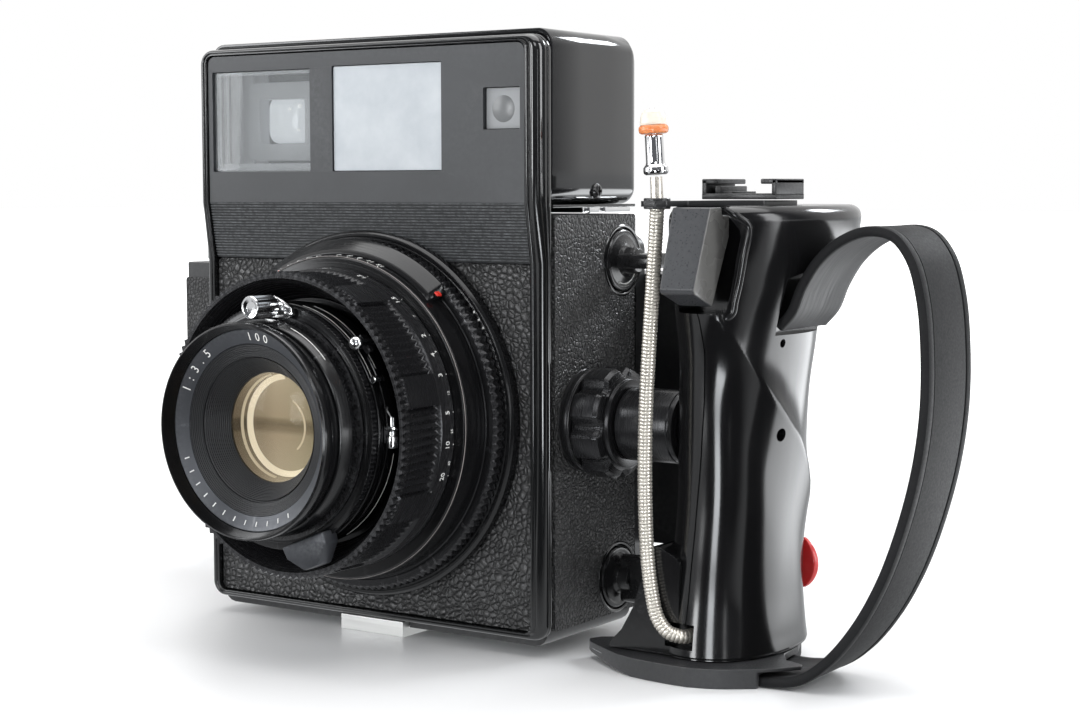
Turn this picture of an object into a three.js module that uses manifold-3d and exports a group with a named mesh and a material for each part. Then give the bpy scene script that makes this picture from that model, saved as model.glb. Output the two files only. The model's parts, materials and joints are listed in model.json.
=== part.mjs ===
// Press camera with interchangeable leaf-shutter lens, rollfilm back on a sliding
// rear standard, coupled-rangefinder housing and a side pistol grip with hand strap.
// Millimetres, +Z up. The lens looks along -Y, the grip is on the +X side.
// The origin is the middle of the underside of the tripod plate.
import * as THREE from 'three';
import { mergeVertices } from 'three/addons/utils/BufferGeometryUtils.js';
import Module from 'manifold-3d';

const wasm = await Module();
wasm.setup();

// ---------------------------------------------------------------- dimensions
const ORIGIN_Y = 24;            // the finder face lies 24 mm in front of the origin
const GAP = 0.3;                // clearance between neighbouring pieces
const HALF_W = 59;              // half width of body and finder housing
const AX_Z = 61.745;            // height of the lens axis
const BODY = { x: 57.2, y0: 5.6, y1: 47.6, z0: 2.4, z1: 116.6, r: 4 };
const CAVITY = { x: 46, y0: 12, z0: 12, z1: 108 };
const THROAT_R = 31.6;
const COVER = { y0: 5.3, y1: 48.4, z0: 119.2, z1: 165, wall: 1.8, r: 4.5 };
const FRAME = { y0: -0.6, y1: 5.0, z0: 4.6, z1: 163.3, xi0: -55.9, xi1: 54.3, zi0: 6.5, zi1: 161.4, r: 4.2 };
const CREASE_Z = 119.8, STEP_Z = 103.9, STEP_Y = 2.6;
const WINDOWS = { vf: [-54.0, -17.8, 128.4, 156.7], il: [-9.9, 27.4, 128.3, 157.1], rf: [41.0, 52.6, 138.9, 149.8] };
const LEATHER_T = 1.4;
const TRIPOD = { x: 11, y0: 3, y1: 45, t: 4.3, holeY: 34, holeR: 3.2 };
const ROD = { x: 51.9, zHi: 103.9, zLo: 16.5, r: 3.0 };
const KNOB_Y = { hi: 40.6, lo: 38.2 };
const EXTENSION = 33;           // travel of the rear standard
const HOLDER = { x0: -122.4, x1: 74, y0: 58, y1: 76, z0: 23, z1: 99.5 };
const GATE = { x: 43, z0: 33.7, z1: 89.7 };
const GRIP_AXIS = { y: 22, z: 61.6 };
const GRIP_TOP = 119.2;
const CABLE_R = 1.9;
const STRAP = { t: 2.6, w: 27 };

// ---------------------------------------------------------------- solids kit
function tidy(geometry) {
  let g = geometry.clone();
  g.deleteAttribute('normal'); g.deleteAttribute('uv');
  g = mergeVertices(g, 1e-4);
  const p = g.attributes.position, idx = g.index.array, keep = [];
  for (let i = 0; i < idx.length; i += 3) {
    const [a, b, c] = [idx[i], idx[i + 1], idx[i + 2]];
    if (a !== b && b !== c && a !== c) keep.push(a, b, c);
  }
  const A = new THREE.Vector3(), B = new THREE.Vector3(), C = new THREE.Vector3();
  let v = 0;
  for (let i = 0; i < keep.length; i += 3) {
    A.fromBufferAttribute(p, keep[i]); B.fromBufferAttribute(p, keep[i + 1]); C.fromBufferAttribute(p, keep[i + 2]);
    v += A.dot(B.cross(C)) / 6;
  }
  if (v < 0) for (let i = 0; i < keep.length; i += 3) [keep[i + 1], keep[i + 2]] = [keep[i + 2], keep[i + 1]];
  g.setIndex(keep);
  return g;
}
const solid = (geometry) => {
  const g = tidy(geometry);
  return new wasm.Manifold(new wasm.Mesh({
    numProp: 3, vertProperties: new Float32Array(g.attributes.position.array), triVerts: new Uint32Array(g.index.array) }));
};
const toGeometry = (m) => {
  const k = m.getMesh(), n = k.numProp, count = k.vertProperties.length / n, pos = new Float32Array(count * 3);
  for (let i = 0; i < count; i++) for (let j = 0; j < 3; j++) pos[3 * i + j] = k.vertProperties[n * i + j];
  const g = new THREE.BufferGeometry();
  g.setAttribute('position', new THREE.BufferAttribute(pos, 3));
  g.setIndex(new THREE.BufferAttribute(new Uint32Array(k.triVerts), 1));
  return g;
};
const join = (...s) => s.reduce((a, b) => a.add(b));
const cut = (a, ...s) => s.reduce((x, y) => x.subtract(y), a);

const box = (x0, x1, y0, y1, z0, z1) =>
  solid(new THREE.BoxGeometry(x1 - x0, y1 - y0, z1 - z0).translate((x0 + x1) / 2, (y0 + y1) / 2, (z0 + z1) / 2));
// cylinder of radius r from a to b along an axis letter, centred on the other two coordinates
function rod(axis, r, a, b, u, v, seg = 20, r2 = r) {
  const g = new THREE.CylinderGeometry(r2, r, b - a, seg);     // r at a, r2 at b
  if (axis === 'x') { g.rotateZ(-Math.PI / 2); g.translate((a + b) / 2, u, v); }
  if (axis === 'y') g.translate(u, (a + b) / 2, v);
  if (axis === 'z') { g.rotateX(Math.PI / 2); g.translate(u, v, (a + b) / 2); }
  return solid(g);
}
// ring turned about the lens axis: profile points are [radius, y], closing on itself
function turnedY(profile, seg = 48, x = 0, z = AX_Z, start = 0, length = 2 * Math.PI) {
  const pts = profile.concat([profile[0]]).map(([r, y]) => new THREE.Vector2(r, y));
  return solid(new THREE.LatheGeometry(pts, seg, start, length).translate(x, 0, z));
}
// solid of revolution about the lens axis that closes on the axis
function turnedSolidY(profile, seg = 36, x = 0, z = AX_Z) {
  return solid(new THREE.LatheGeometry(profile.map(([r, y]) => new THREE.Vector2(r, y)), seg).translate(x, 0, z));
}
const turnedX = (profile, y, z, seg = 32) =>
  solid(new THREE.LatheGeometry(profile.map(([r, h]) => new THREE.Vector2(r, h)), seg).rotateZ(-Math.PI / 2).translate(0, y, z));
const turnedZ = (profile, x, y, seg = 24) =>
  solid(new THREE.LatheGeometry(profile.map(([r, h]) => new THREE.Vector2(r, h)), seg).rotateX(Math.PI / 2).translate(x, y, 0));
function roundRect(x0, x1, z0, z1, r, n = 4) {
  const s = [];
  for (const [cx, cz, a0] of [[x1 - r, z1 - r, 0], [x0 + r, z1 - r, 90], [x0 + r, z0 + r, 180], [x1 - r, z0 + r, 270]])
    for (let i = 0; i <= n; i++) {
      const a = THREE.MathUtils.degToRad(a0 + 90 * i / n);
      s.push([cx + r * Math.cos(a), cz + r * Math.sin(a)]);
    }
  return s;
}
const shapeOf = (pts) => new THREE.Shape(pts.map(([a, b]) => new THREE.Vector2(a, b)));
// outline in X,Z pushed along Y
const slabY = (pts, y0, y1) =>
  solid(new THREE.ExtrudeGeometry(shapeOf(pts), { depth: y1 - y0, bevelEnabled: false, steps: 1 }).rotateX(Math.PI / 2).translate(0, y1, 0));
// outline in Y,Z pushed along X
const slabX = (pts, x0, x1) => {
  const m = new THREE.Matrix4().makeBasis(new THREE.Vector3(0, 1, 0), new THREE.Vector3(0, 0, 1), new THREE.Vector3(1, 0, 0));
  return solid(new THREE.ExtrudeGeometry(shapeOf(pts), { depth: x1 - x0, bevelEnabled: false, steps: 1 }).applyMatrix4(m).translate(x0, 0, 0));
};
// outline in X,Y pushed along Z
const slabZ = (pts, z0, z1) =>
  solid(new THREE.ExtrudeGeometry(shapeOf(pts), { depth: z1 - z0, bevelEnabled: false, steps: 1 }).translate(0, 0, z0));
// skin through a stack of closed loops of points, capped at both ends
function loft(loops) {
  const n = loops[0].length, pos = [], idx = [];
  for (const l of loops) for (const p of l) pos.push(...p);
  for (let k = 0; k + 1 < loops.length; k++) for (let i = 0; i < n; i++) {
    const j = (i + 1) % n, a = k * n + i, b = k * n + j, c = a + n, d = b + n;
    idx.push(a, b, d, a, d, c);
  }
  for (const [k, flip] of [[0, true], [loops.length - 1, false]]) {
    const c = pos.length / 3, m = [0, 0, 0];
    for (const p of loops[k]) for (let j = 0; j < 3; j++) m[j] += p[j] / n;
    pos.push(...m);
    for (let i = 0; i < n; i++) {
      const a = k * n + i, b = k * n + (i + 1) % n;
      idx.push(...(flip ? [c, b, a] : [c, a, b]));
    }
  }
  const g = new THREE.BufferGeometry();
  g.setAttribute('position', new THREE.Float32BufferAttribute(pos, 3));
  g.setIndex(idx);
  return solid(g);
}

// ---------------------------------------------------------------- assembly
const camera = new THREE.Group();
camera.position.y = -ORIGIN_Y;
const looks = {
  black_enamel: [0x101114, 0.28, 0.3], black_satin: [0x1b1c1f, 0.5, 0.3], leather: [0x1a1a1b, 0.85, 0.0],
  chrome: [0xd8d8d8, 0.18, 1.0], aluminium: [0xbdbdbb, 0.45, 0.9], glass: [0x6d7070, 0.05, 0.0],
  frosted: [0xe6ebee, 0.7, 0.0], coated: [0x9c8660, 0.05, 0.0], black_gloss: [0x0b0b0d, 0.15, 0.0],
  rubber: [0x232426, 0.6, 0.0], brass: [0xb08d57, 0.35, 1.0], orange: [0xd9662b, 0.35, 0.0], red: [0xc93638, 0.3, 0.0],
  grey_satin: [0x4a4c50, 0.55, 0.4], spool: [0x2b2b2c, 0.6, 0.0], cloth: [0x131313, 0.9, 0.0] };
function add(name, m, look, parent = camera) {
  const [color, roughness, metalness] = looks[look];
  const mesh = new THREE.Mesh(toGeometry(m), new THREE.MeshStandardMaterial({ color, roughness, metalness }));
  mesh.name = name;
  parent.add(mesh);
}

// ---------------------------------------------------------------- body
{
  let b = slabY(roundRect(-BODY.x, BODY.x, BODY.z0, BODY.z1, BODY.r), BODY.y0, BODY.y1);
  b = cut(b, box(-CAVITY.x, CAVITY.x, CAVITY.y0, BODY.y1 + 1, CAVITY.z0, CAVITY.z1));      // bellows chamber
  b = cut(b, rod('y', THROAT_R, BODY.y0 - 1, CAVITY.y0 + 1, 0, AX_Z, 40));                // lens throat
  b = cut(b, box(-TRIPOD.x - GAP, TRIPOD.x + GAP, BODY.y0 - 1, TRIPOD.y1 + GAP, BODY.z0 - 1, TRIPOD.t + GAP));
  for (const s of [-1, 1]) for (const [z, y] of [[ROD.zHi, KNOB_Y.hi], [ROD.zLo, KNOB_Y.lo]]) {
    b = cut(b, rod('y', ROD.r + GAP, 7.2, BODY.y1 + 1, s * ROD.x, z, 16));               // slide-rod bores
    const lo = s > 0 ? 55.6 : -BODY.x - 1, hi = s > 0 ? BODY.x + 1 : -55.6;
    b = cut(b, rod('x', 2.5, lo, hi, y, z, 12));                                         // clamp-screw holes
  }
  b = join(b, rod('x', 13.7, BODY.x - 1, 62.0, GRIP_AXIS.y, GRIP_AXIS.z, 28));             // grip boss
  b = cut(b, rod('x', 4.3, 50.5, 63, GRIP_AXIS.y, GRIP_AXIS.z, 20));
  add('body_shell', b, 'black_satin');
}
{
  let f = slabY(roundRect(-HALF_W, HALF_W, FRAME.z0, FRAME.z1, FRAME.r), FRAME.y0, FRAME.y1);
  f = cut(f, slabY(roundRect(FRAME.xi0, FRAME.xi1, FRAME.zi0, FRAME.zi1, 2.2, 3), FRAME.y0 - 1, FRAME.y1 + 1));
  f = cut(f, slabX([[FRAME.y0 - 3, 0], [STEP_Y - 0.8, 0], [STEP_Y - 0.8, STEP_Z], [FRAME.y0, CREASE_Z], [FRAME.y0 - 3, CREASE_Z]], -70, 70));
  add('front_frame', f, 'black_gloss');
}
{
  const x0 = FRAME.xi0 + GAP, x1 = FRAME.xi1 - GAP;
  let p = slabX([[0, FRAME.zi1 - GAP], [0, CREASE_Z], [STEP_Y, STEP_Z + GAP], [5.0, STEP_Z + GAP], [5.0, BODY.z1 - 0.4], [3.2, BODY.z1 + 1.5], [3.2, FRAME.zi1 - GAP]], x0, x1);
  p = p.intersect(slabY(roundRect(x0, x1, 90, FRAME.zi1 - GAP, 2.4, 3), -2, 8));
  for (const [a, b, c, d] of Object.values(WINDOWS)) p = cut(p, box(a, b, -1, 6, c, d));
  add('finder_faceplate', p, 'grey_satin');
  add('front_leatherette', cut(
    slabY(roundRect(x0, x1, FRAME.zi0 + GAP, STEP_Z, 1.6, 3), 3.5, 5.3), rod('y', 43.4, 3, 6, 0, AX_Z, 40)), 'leather');
}
for (const s of [-1, 1]) {
  const x0 = BODY.x + GAP, x1 = HALF_W;
  let l = slabX([[8.5, 6.6], [47.2, 6.6], [47.2, 116.4], [8.5, 116.4]], x0, x1);
  for (const [z, y] of [[ROD.zHi, KNOB_Y.hi], [ROD.zLo, KNOB_Y.lo]]) l = cut(l, rod('x', 9.0, x0 - 1, x1 + 1, y, z, 16));
  if (s > 0) l = cut(l, rod('x', 14.0, x0 - 1, x1 + 1, GRIP_AXIS.y, GRIP_AXIS.z, 28));
  add(s > 0 ? 'side_leatherette_right' : 'side_leatherette_left', s > 0 ? l : l.mirror([1, 0, 0]), 'leather');
}
{
  // finder housing: open in front and below, rounded on its upper edges
  let c = slabY(roundRect(-HALF_W, HALF_W, COVER.z0, COVER.z1, COVER.r), COVER.y0, COVER.y1);
  c = join(c, box(-HALF_W, HALF_W, COVER.y0, COVER.y1, COVER.z0, COVER.z0 + COVER.r + 1));
  c = cut(c, box(-HALF_W + COVER.wall, HALF_W - COVER.wall, COVER.y0 - 1, COVER.y1 - COVER.wall, COVER.z0 - 1, COVER.z1 - COVER.wall));
  c = cut(c, slabX([[COVER.y1 - 3.5, COVER.z1 + 1], [COVER.y1 + 1, COVER.z1 - 3.5], [COVER.y1 + 1, COVER.z1 + 1]], -70, 70));
  c = cut(c, rod('y', 6.6, COVER.y1 - 4, COVER.y1 + 1, -36, 142, 20));
  c = cut(c, rod('x', 1.4, 56, 60, 26.9, 122.8, 10));
  add('top_cover', c, 'black_gloss');
  add('eyepiece', cut(rod('y', 6.3, 43.5, 50.6, -36, 142, 20), rod('y', 4.2, 47, 52, -36, 142, 16)), 'glass');
}
{
  let k = turnedX([[0, 53.5], [1.1, 53.5], [1.1, 58.9 + GAP], [2.0, 58.9 + GAP], [1.7, 60.0], [0, 60.0]], 26.9, 122.8, 14);
  k = cut(k, box(59.6, 61, 25, 29, 122.5, 123.1));
  add('cover_screw', k, 'black_satin');
}
// chromed plate between casting and finder housing, its two ends carry the neck-strap lugs
add('lug_plate', join(box(-58.4, 58.4, 20.5, 44.5, 116.9, 118.9)), 'chrome');
add('viewfinder_window', box(WINDOWS.vf[0] + GAP, WINDOWS.vf[1] - GAP, 0.9, 2.9, WINDOWS.vf[2] + GAP, WINDOWS.vf[3] - GAP), 'glass');
add('illumination_window', box(WINDOWS.il[0] + GAP, WINDOWS.il[1] - GAP, 0.9, 2.9, WINDOWS.il[2] + GAP, WINDOWS.il[3] - GAP), 'frosted');
add('rangefinder_window', box(WINDOWS.rf[0] + GAP, WINDOWS.rf[1] - GAP, 0.9, 2.9, WINDOWS.rf[2] + GAP, WINDOWS.rf[3] - GAP), 'glass');
// finder chassis: base, viewfinder block behind its window and the angled rangefinder mirror
add('finder_optics', join(
  cut(join(box(-50, -20, 21, 33, 119.3, 155), box(-44, -26, 33, 42, 119.3, 152)), box(-46, -24, 20, 24, 131, 152)),
  box(-50, 54, 20, 36, 119.3, 120.6), slabZ([[40, 20], [53, 33], [51.6, 34.4], [38.6, 21.4]], 119.3, 151)), 'black_satin');
add('tripod_plate', cut(box(-TRIPOD.x, TRIPOD.x, TRIPOD.y0, TRIPOD.y1, 0, TRIPOD.t), rod('z', TRIPOD.holeR, -1, 6, 0, TRIPOD.holeY, 24)), 'aluminium');

// ---------------------------------------------------------------- bellows and rear standard
{
  const o = [], n = 8, y0 = 12.3, y1 = 47.6;
  for (let i = 0; i <= n; i++) {
    const y = y0 + (y1 - y0) * i / n, d = i % 2 ? 2.2 : 0;
    o.push({ y, d });
  }
  const ring = (w, h, y, r) => roundRect(-w, w, AX_Z - 1.7 - h, AX_Z - 1.7 + h, r, 2).map(([x, z]) => [x, y, z]);
  const outer = loft(o.map(({ y, d }) => ring(44.8 - d, 46.8 - d, y, 3)));
  const inner = loft([{ y: y0 - 1, d: 0 }, ...o, { y: y1 + 1, d: 0 }].map(({ y, d }) => ring(40.5 - d, 42.5 - d, y, 3)));
  add('bellows', cut(outer, inner), 'cloth');
}
{
  let r = slabY(roundRect(-56, 56, 9, 110.5, 4), 47.9, 57.7);
  r = cut(r, slabY(roundRect(-44, 44, 28, 96, 3, 3), 47, 59));
  add('rear_standard', r, 'black_satin');
}
for (const [sx, sn] of [[1, 'right'], [-1, 'left']]) for (const [z, zn] of [[ROD.zHi, 'upper'], [ROD.zLo, 'lower']])
  add(`slide_rod_${zn}_${sn}`, rod('y', ROD.r, 7.5, 47.6, sx * ROD.x, z, 14), 'chrome');
// wing knobs that clamp the slide rods
for (const s of [1, -1]) for (const hi of [true, false]) {
  const y = hi ? KNOB_Y.hi : KNOB_Y.lo, z = hi ? ROD.zHi : ROD.zLo;
  let k = turnedX([[0, 55.9], [2.1, 55.9], [2.1, 57.5], [8.4, 57.5], [8.4, 59.4], [4.2, 60.4], [3.6, 64], [0, 64]], y, z, 14);
  const wing = hi
    ? slabX(roundRect(y - 6.6, y + 6.6, z - 2.1, z + 2.1, 1.6, 1), 61.2, 70.6)
    : slabX(roundRect(y - 2.1, y + 2.1, z - 6.6, z + 6.6, 1.6, 1), 61.2, 70.6);
  k = join(k, wing);
  add(`lock_knob_${hi ? 'upper' : 'lower'}_${s > 0 ? 'right' : 'left'}`, s > 0 ? k : k.mirror([1, 0, 0]), 'black_satin');
}

// ---------------------------------------------------------------- rollfilm holder
{
  const { x0, x1, y0, y1, z0, z1 } = HOLDER;
  const plan = [[x0, y0 + 3], [x0 + 2, y0 + 0.6], [x0 + 5, y0], [x1 - 4, y0], [x1, y0 + 4], [x1, y1], [x0, y1]];
  let h = slabZ(plan, z0, z1);
  h = cut(h, box(x0 + 3, -48, y0 + 3, y1 + 1, z0 + 3, z1 - 3));            // take-up chamber
  h = cut(h, box(48, x1 - 3, y0 + 3.5, y1 + 1, z0 + 3, z1 - 3));           // supply chamber
  h = cut(h, box(-49, 49, y0 + 4.2, y1 + 1, z0 + 3, z1 - 3));              // film path
  h = cut(h, box(-GATE.x, GATE.x, y0 - 1, y0 + 6, GATE.z0, GATE.z1));      // film gate
  h = cut(h, box(-46, x1 + 1, y0 + 1.0, y0 + 2.4, GATE.z0 - 1.5, GATE.z1 + 1.5)); // dark-slide slot
  add('holder_shell', h, 'black_satin');
  let d = slabZ([[x0 + 0.2, y1 + GAP], [x1, y1 + GAP], [x1, y1 + 1.8], [x1 - 6, y1 + 3.4], [x0 + 8, y1 + 3.4], [x0 + 2, y1 + 2.2]], z0, z1);
  // film pressure plate on its post behind the gate
  d = join(d, box(-47, 47, y1 - 9.5, y1 - 7.5, GATE.z0 - 3, GATE.z1 + 3), box(-12, 12, y1 - 8, y1 + 1, AX_Z - 12, AX_Z + 12));
  add('holder_door', d, 'leather');
  add('holder_latch', join(box(x1 + GAP, x1 + 2.6, y1 - 9, y1 + 1.2, 54, 70), box(x1 + 2.4, x1 + 4.6, y1 - 7, y1 - 1, 59, 65)), 'chrome');
  add('dark_slide', join(box(-45, x1 + 2, y0 + 1.3, y0 + 2.1, GATE.z0 - 1.2, GATE.z1 + 1.2), box(x1 + 1, x1 + 8, y0 + 0.6, y0 + 2.8, 50, 73)), 'aluminium');
  for (const [n, x] of [['takeup_spool', -104], ['supply_spool', 60.5]]) {
    const zc0 = z0 + 3 + GAP, zc1 = z1 - 3 - GAP;
    add(n, turnedZ([[0, zc0], [7.0, zc0], [7.0, zc0 + 1.6], [4.4, zc0 + 1.6], [4.4, zc1 - 1.6], [7.0, zc1 - 1.6], [7.0, zc1], [0, zc1]], x, y0 + 10.9, 12), 'spool');
  }
  // film-advance lever: hub and arm above the take-up chamber
  const hx = -104.5, hy = y0 + 9.5;
  const hub = turnedZ([[0, z1 + GAP], [10.6, z1 + GAP], [11.2, z1 + 1.5], [11.2, 107.2], [9.6, 108.9], [0, 108.9]], hx, hy, 20);
  const arm = slabZ([[hx, hy - 6], [hx + 34, hy - 4], [hx + 39, hy - 1], [hx + 39, hy + 3.5], [hx + 34, hy + 5], [hx, hy + 6]], z1 + 2.2, z1 + 5.2);
  add('advance_lever', join(hub, arm), 'black_satin');
}

// ---------------------------------------------------------------- lens
add('lens_mount_flange', cut(turnedY([[32, -0.6], [49.6, -0.6], [50.4, 0.2], [50.4, 3.2], [43, 3.2], [43, 5.3], [32, 5.3]], 44),
  slabX([[-0.35, CREASE_Z], [STEP_Y - 0.35, STEP_Z], [6, STEP_Z], [6, CREASE_Z]], -60, 60)), 'black_satin');
add('lens_lock_ring', turnedY([[39.4, -4.5], [47.4, -4.5], [48.3, -3.6], [48.3, -0.9], [39.4, -0.9]], 44), 'black_satin');
{
  let b = turnedY([[27.6, -21], [33.0, -21], [33.0, -12.5], [43.6, -12.5], [44.3, -8.5], [44.3, -4.8], [39.1, -4.8], [39.1, -0.9], [31.2, -0.9], [31.2, 11.8], [27.6, 11.8]], 40);
  // raised hood over the depth-of-field scale, spanning the top of the barrel
  let hood = turnedY([[43.9, -9.6], [44.6, -9.9], [48.3, -5.6], [48.3, -4.8], [43.9, -4.8]], 44);
  const cheek = (a) => { const t = THREE.MathUtils.degToRad(a); return [90 * Math.sin(t), AX_Z + 90 * Math.cos(t)]; };
  const wedge = slabY([[0, AX_Z], cheek(-50), cheek(-20), [0, AX_Z + 95], cheek(20), cheek(48)], -20, 2);
  hood = hood.intersect(wedge);
  b = join(b, hood);
  add('lens_barrel', b, 'black_gloss');
}
add('focus_ring', turnedY([[38.7, -33.5], [40.5, -33.5], [40.5, -31.2], [39.4, -30.6], [39.4, -18.6], [40.6, -18.0], [40.6, -12.8], [33.3, -12.8], [33.3, -21.3], [34.2, -23.6], [35.4, -26.5]], 40), 'black_gloss');
add('shutter_case', turnedY([[21.5, -33.6], [32.4, -33.6], [32.4, -25.6], [30.5, -22.4], [27.3, -22.4], [27.3, 5], [21.5, 5]], 32), 'black_gloss');
add('front_cell', turnedY([[15.6, -37.6], [26.2, -47.4], [26.2, -49.2], [27.2, -50], [28.14, -49.4], [28.14, -46.6], [27.0, -43.3], [24.0, -43.3], [24.0, -33.9], [15.6, -33.9]], 36), 'black_satin');
add('name_ring', turnedY([[14.5, -37.9], [15.2, -37.9], [25.9, -47.8], [25.9, -49.0], [21.0, -49.0], [20.4, -47.6], [14.5, -38.9]], 36), 'grey_satin');
add('front_element', turnedSolidY([[0, -39.4], [8, -38.6], [14.0, -37.3], [15.3, -37.0], [15.3, -34.4], [0, -34.4]], 28), 'coated');
add('iris_diaphragm', turnedY([[9, -31.4], [21.2, -31.4], [21.2, -30.6], [9, -30.6]], 24), 'black_satin');
add('speed_ring', turnedY([[24.3, -43.0], [27.6, -43.0], [28.4, -38.0], [24.3, -38.0]], 36), 'black_gloss');
{
  let c = turnedY([[24.3, -37.7], [29.6, -37.7], [29.6, -36.6], [24.3, -36.6]], 32);
  c = join(c, box(-1.4, 5, -37.7, -36.6, AX_Z + 28, AX_Z + 33.5));
  c = join(c, rod('y', 3.0, -47.6, -37.2, 1.8, AX_Z + 31.75, 14));
  add('cocking_lever', c, 'chrome');
}
{
  let a = turnedY([[24.3, -36.3], [32.2, -36.3], [32.2, -33.9], [24.3, -33.9]], 36);
  const c = THREE.MathUtils.degToRad(158), s = [Math.sin(c), Math.cos(c)], t = [s[1], -s[0]];
  const q = (r, w) => [s[0] * r + t[0] * w, AX_Z + s[1] * r + t[1] * w];
  a = join(a, slabY([q(30.5, -7.4), q(33.5, -7.0), q(38, -2.4), q(38, 2.2), q(33.5, 7.0), q(30.5, 7.4)], -39.6, -33.9));
  a = cut(a, rod('y', 29.9, -45, -36.35, 0, AX_Z, 36));
  add('aperture_ring', a, 'black_gloss');
}
{
  const a = THREE.MathUtils.degToRad(49), x = 34.9 * Math.sin(a), z = AX_Z + 34.9 * Math.cos(a);
  const ball = solid(new THREE.SphereGeometry(1.9, 10, 7).translate(x, -35.2, z));
  const f2 = box(-2.6, 2.6, -31.5, -28.5, 33.0, 35.0).rotate([0, 49, 0]).translate([0, 0, AX_Z]);
  add('release_lever', join(ball, rod('y', 0.95, -35, -29, x, z, 10), f2), 'chrome');
}
{
  const x = 34.6, y = -31;
  let k = join(rod('z', 1.7, AX_Z - 3.6, AX_Z + 0.6, x, y, 14), rod('z', 0.9, AX_Z + 0.4, AX_Z + 4.4, x, y, 10));
  k = join(k, box(32.8, 34.6, -32.2, -29.8, AX_Z - 2.4, AX_Z + 2));
  add('cable_socket', k, 'chrome');
}

// ---------------------------------------------------------------- pistol grip
{
  const n = 8, pts = [];
  for (let i = 0; i < n * 4; i++) {
    const a = 2 * Math.PI * (i + 0.5) / (n * 4), r = 14.1 + 0.75 * Math.cos(n * a);
    pts.push([GRIP_AXIS.y + r * Math.sin(a), GRIP_AXIS.z + r * Math.cos(a)]);
  }
  let k = slabX(pts, 62.4, 71.6);
  k = join(k, rod('x', 11.6, 71.4, 73.0, GRIP_AXIS.y, GRIP_AXIS.z, 28), rod('x', 4.0, 51.2, 63, GRIP_AXIS.y, GRIP_AXIS.z, 18), rod('x', 3.0, 72, 80, GRIP_AXIS.y, GRIP_AXIS.z, 16));
  add('grip_lock_knob', k, 'black_satin');
  const sleeve = cut(rod('x', 9.65, 73.4, 90.4, GRIP_AXIS.y, GRIP_AXIS.z, 32), rod('x', 3.3, 73, 80.6, GRIP_AXIS.y, GRIP_AXIS.z, 18), rod('y', 1.2, 10, 16, 80.4, 63.6, 10));
  add('grip_bracket', sleeve, 'black_satin');
}
const GRIP_SECTIONS = [ // z, centre x, centre y, half width, half depth
  [5.3, 101.0, 28.6, 16.2, 25.0], [10, 100.9, 28.7, 15.7, 24.4], [20, 101.0, 29.1, 14.8, 23.4], [32, 101.6, 29.5, 14.1, 22.9],
  [45, 102.1, 30.0, 13.9, 22.7], [60, 102.2, 30.2, 13.9, 22.8], [72, 102.3, 30.6, 14.0, 23.2], [82, 102.5, 31.6, 14.4, 24.6],
  [91, 102.7, 31.9, 15.5, 26.1], [99, 103.2, 35.4, 17.6, 30.5], [106, 103.6, 37.2, 19.2, 33.4], [112, 103.9, 38.4, 20.1, 35.0],
  [117.4, 104.1, 38.9, 20.5, 35.5], [GRIP_TOP, 104.1, 38.9, 19.0, 34.0]];
const oval = (z, cx, cy, a, b, m = 24, e = 2.15) => {
  const out = [];
  for (let i = 0; i < m; i++) {
    const t = 2 * Math.PI * (i + 0.5) / m, c = Math.cos(t), s = Math.sin(t);
    out.push([cx + a * Math.sign(c) * Math.abs(c) ** (2 / e), cy + b * Math.sign(s) * Math.abs(s) ** (2 / e), z]);
  }
  return out;
};
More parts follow.
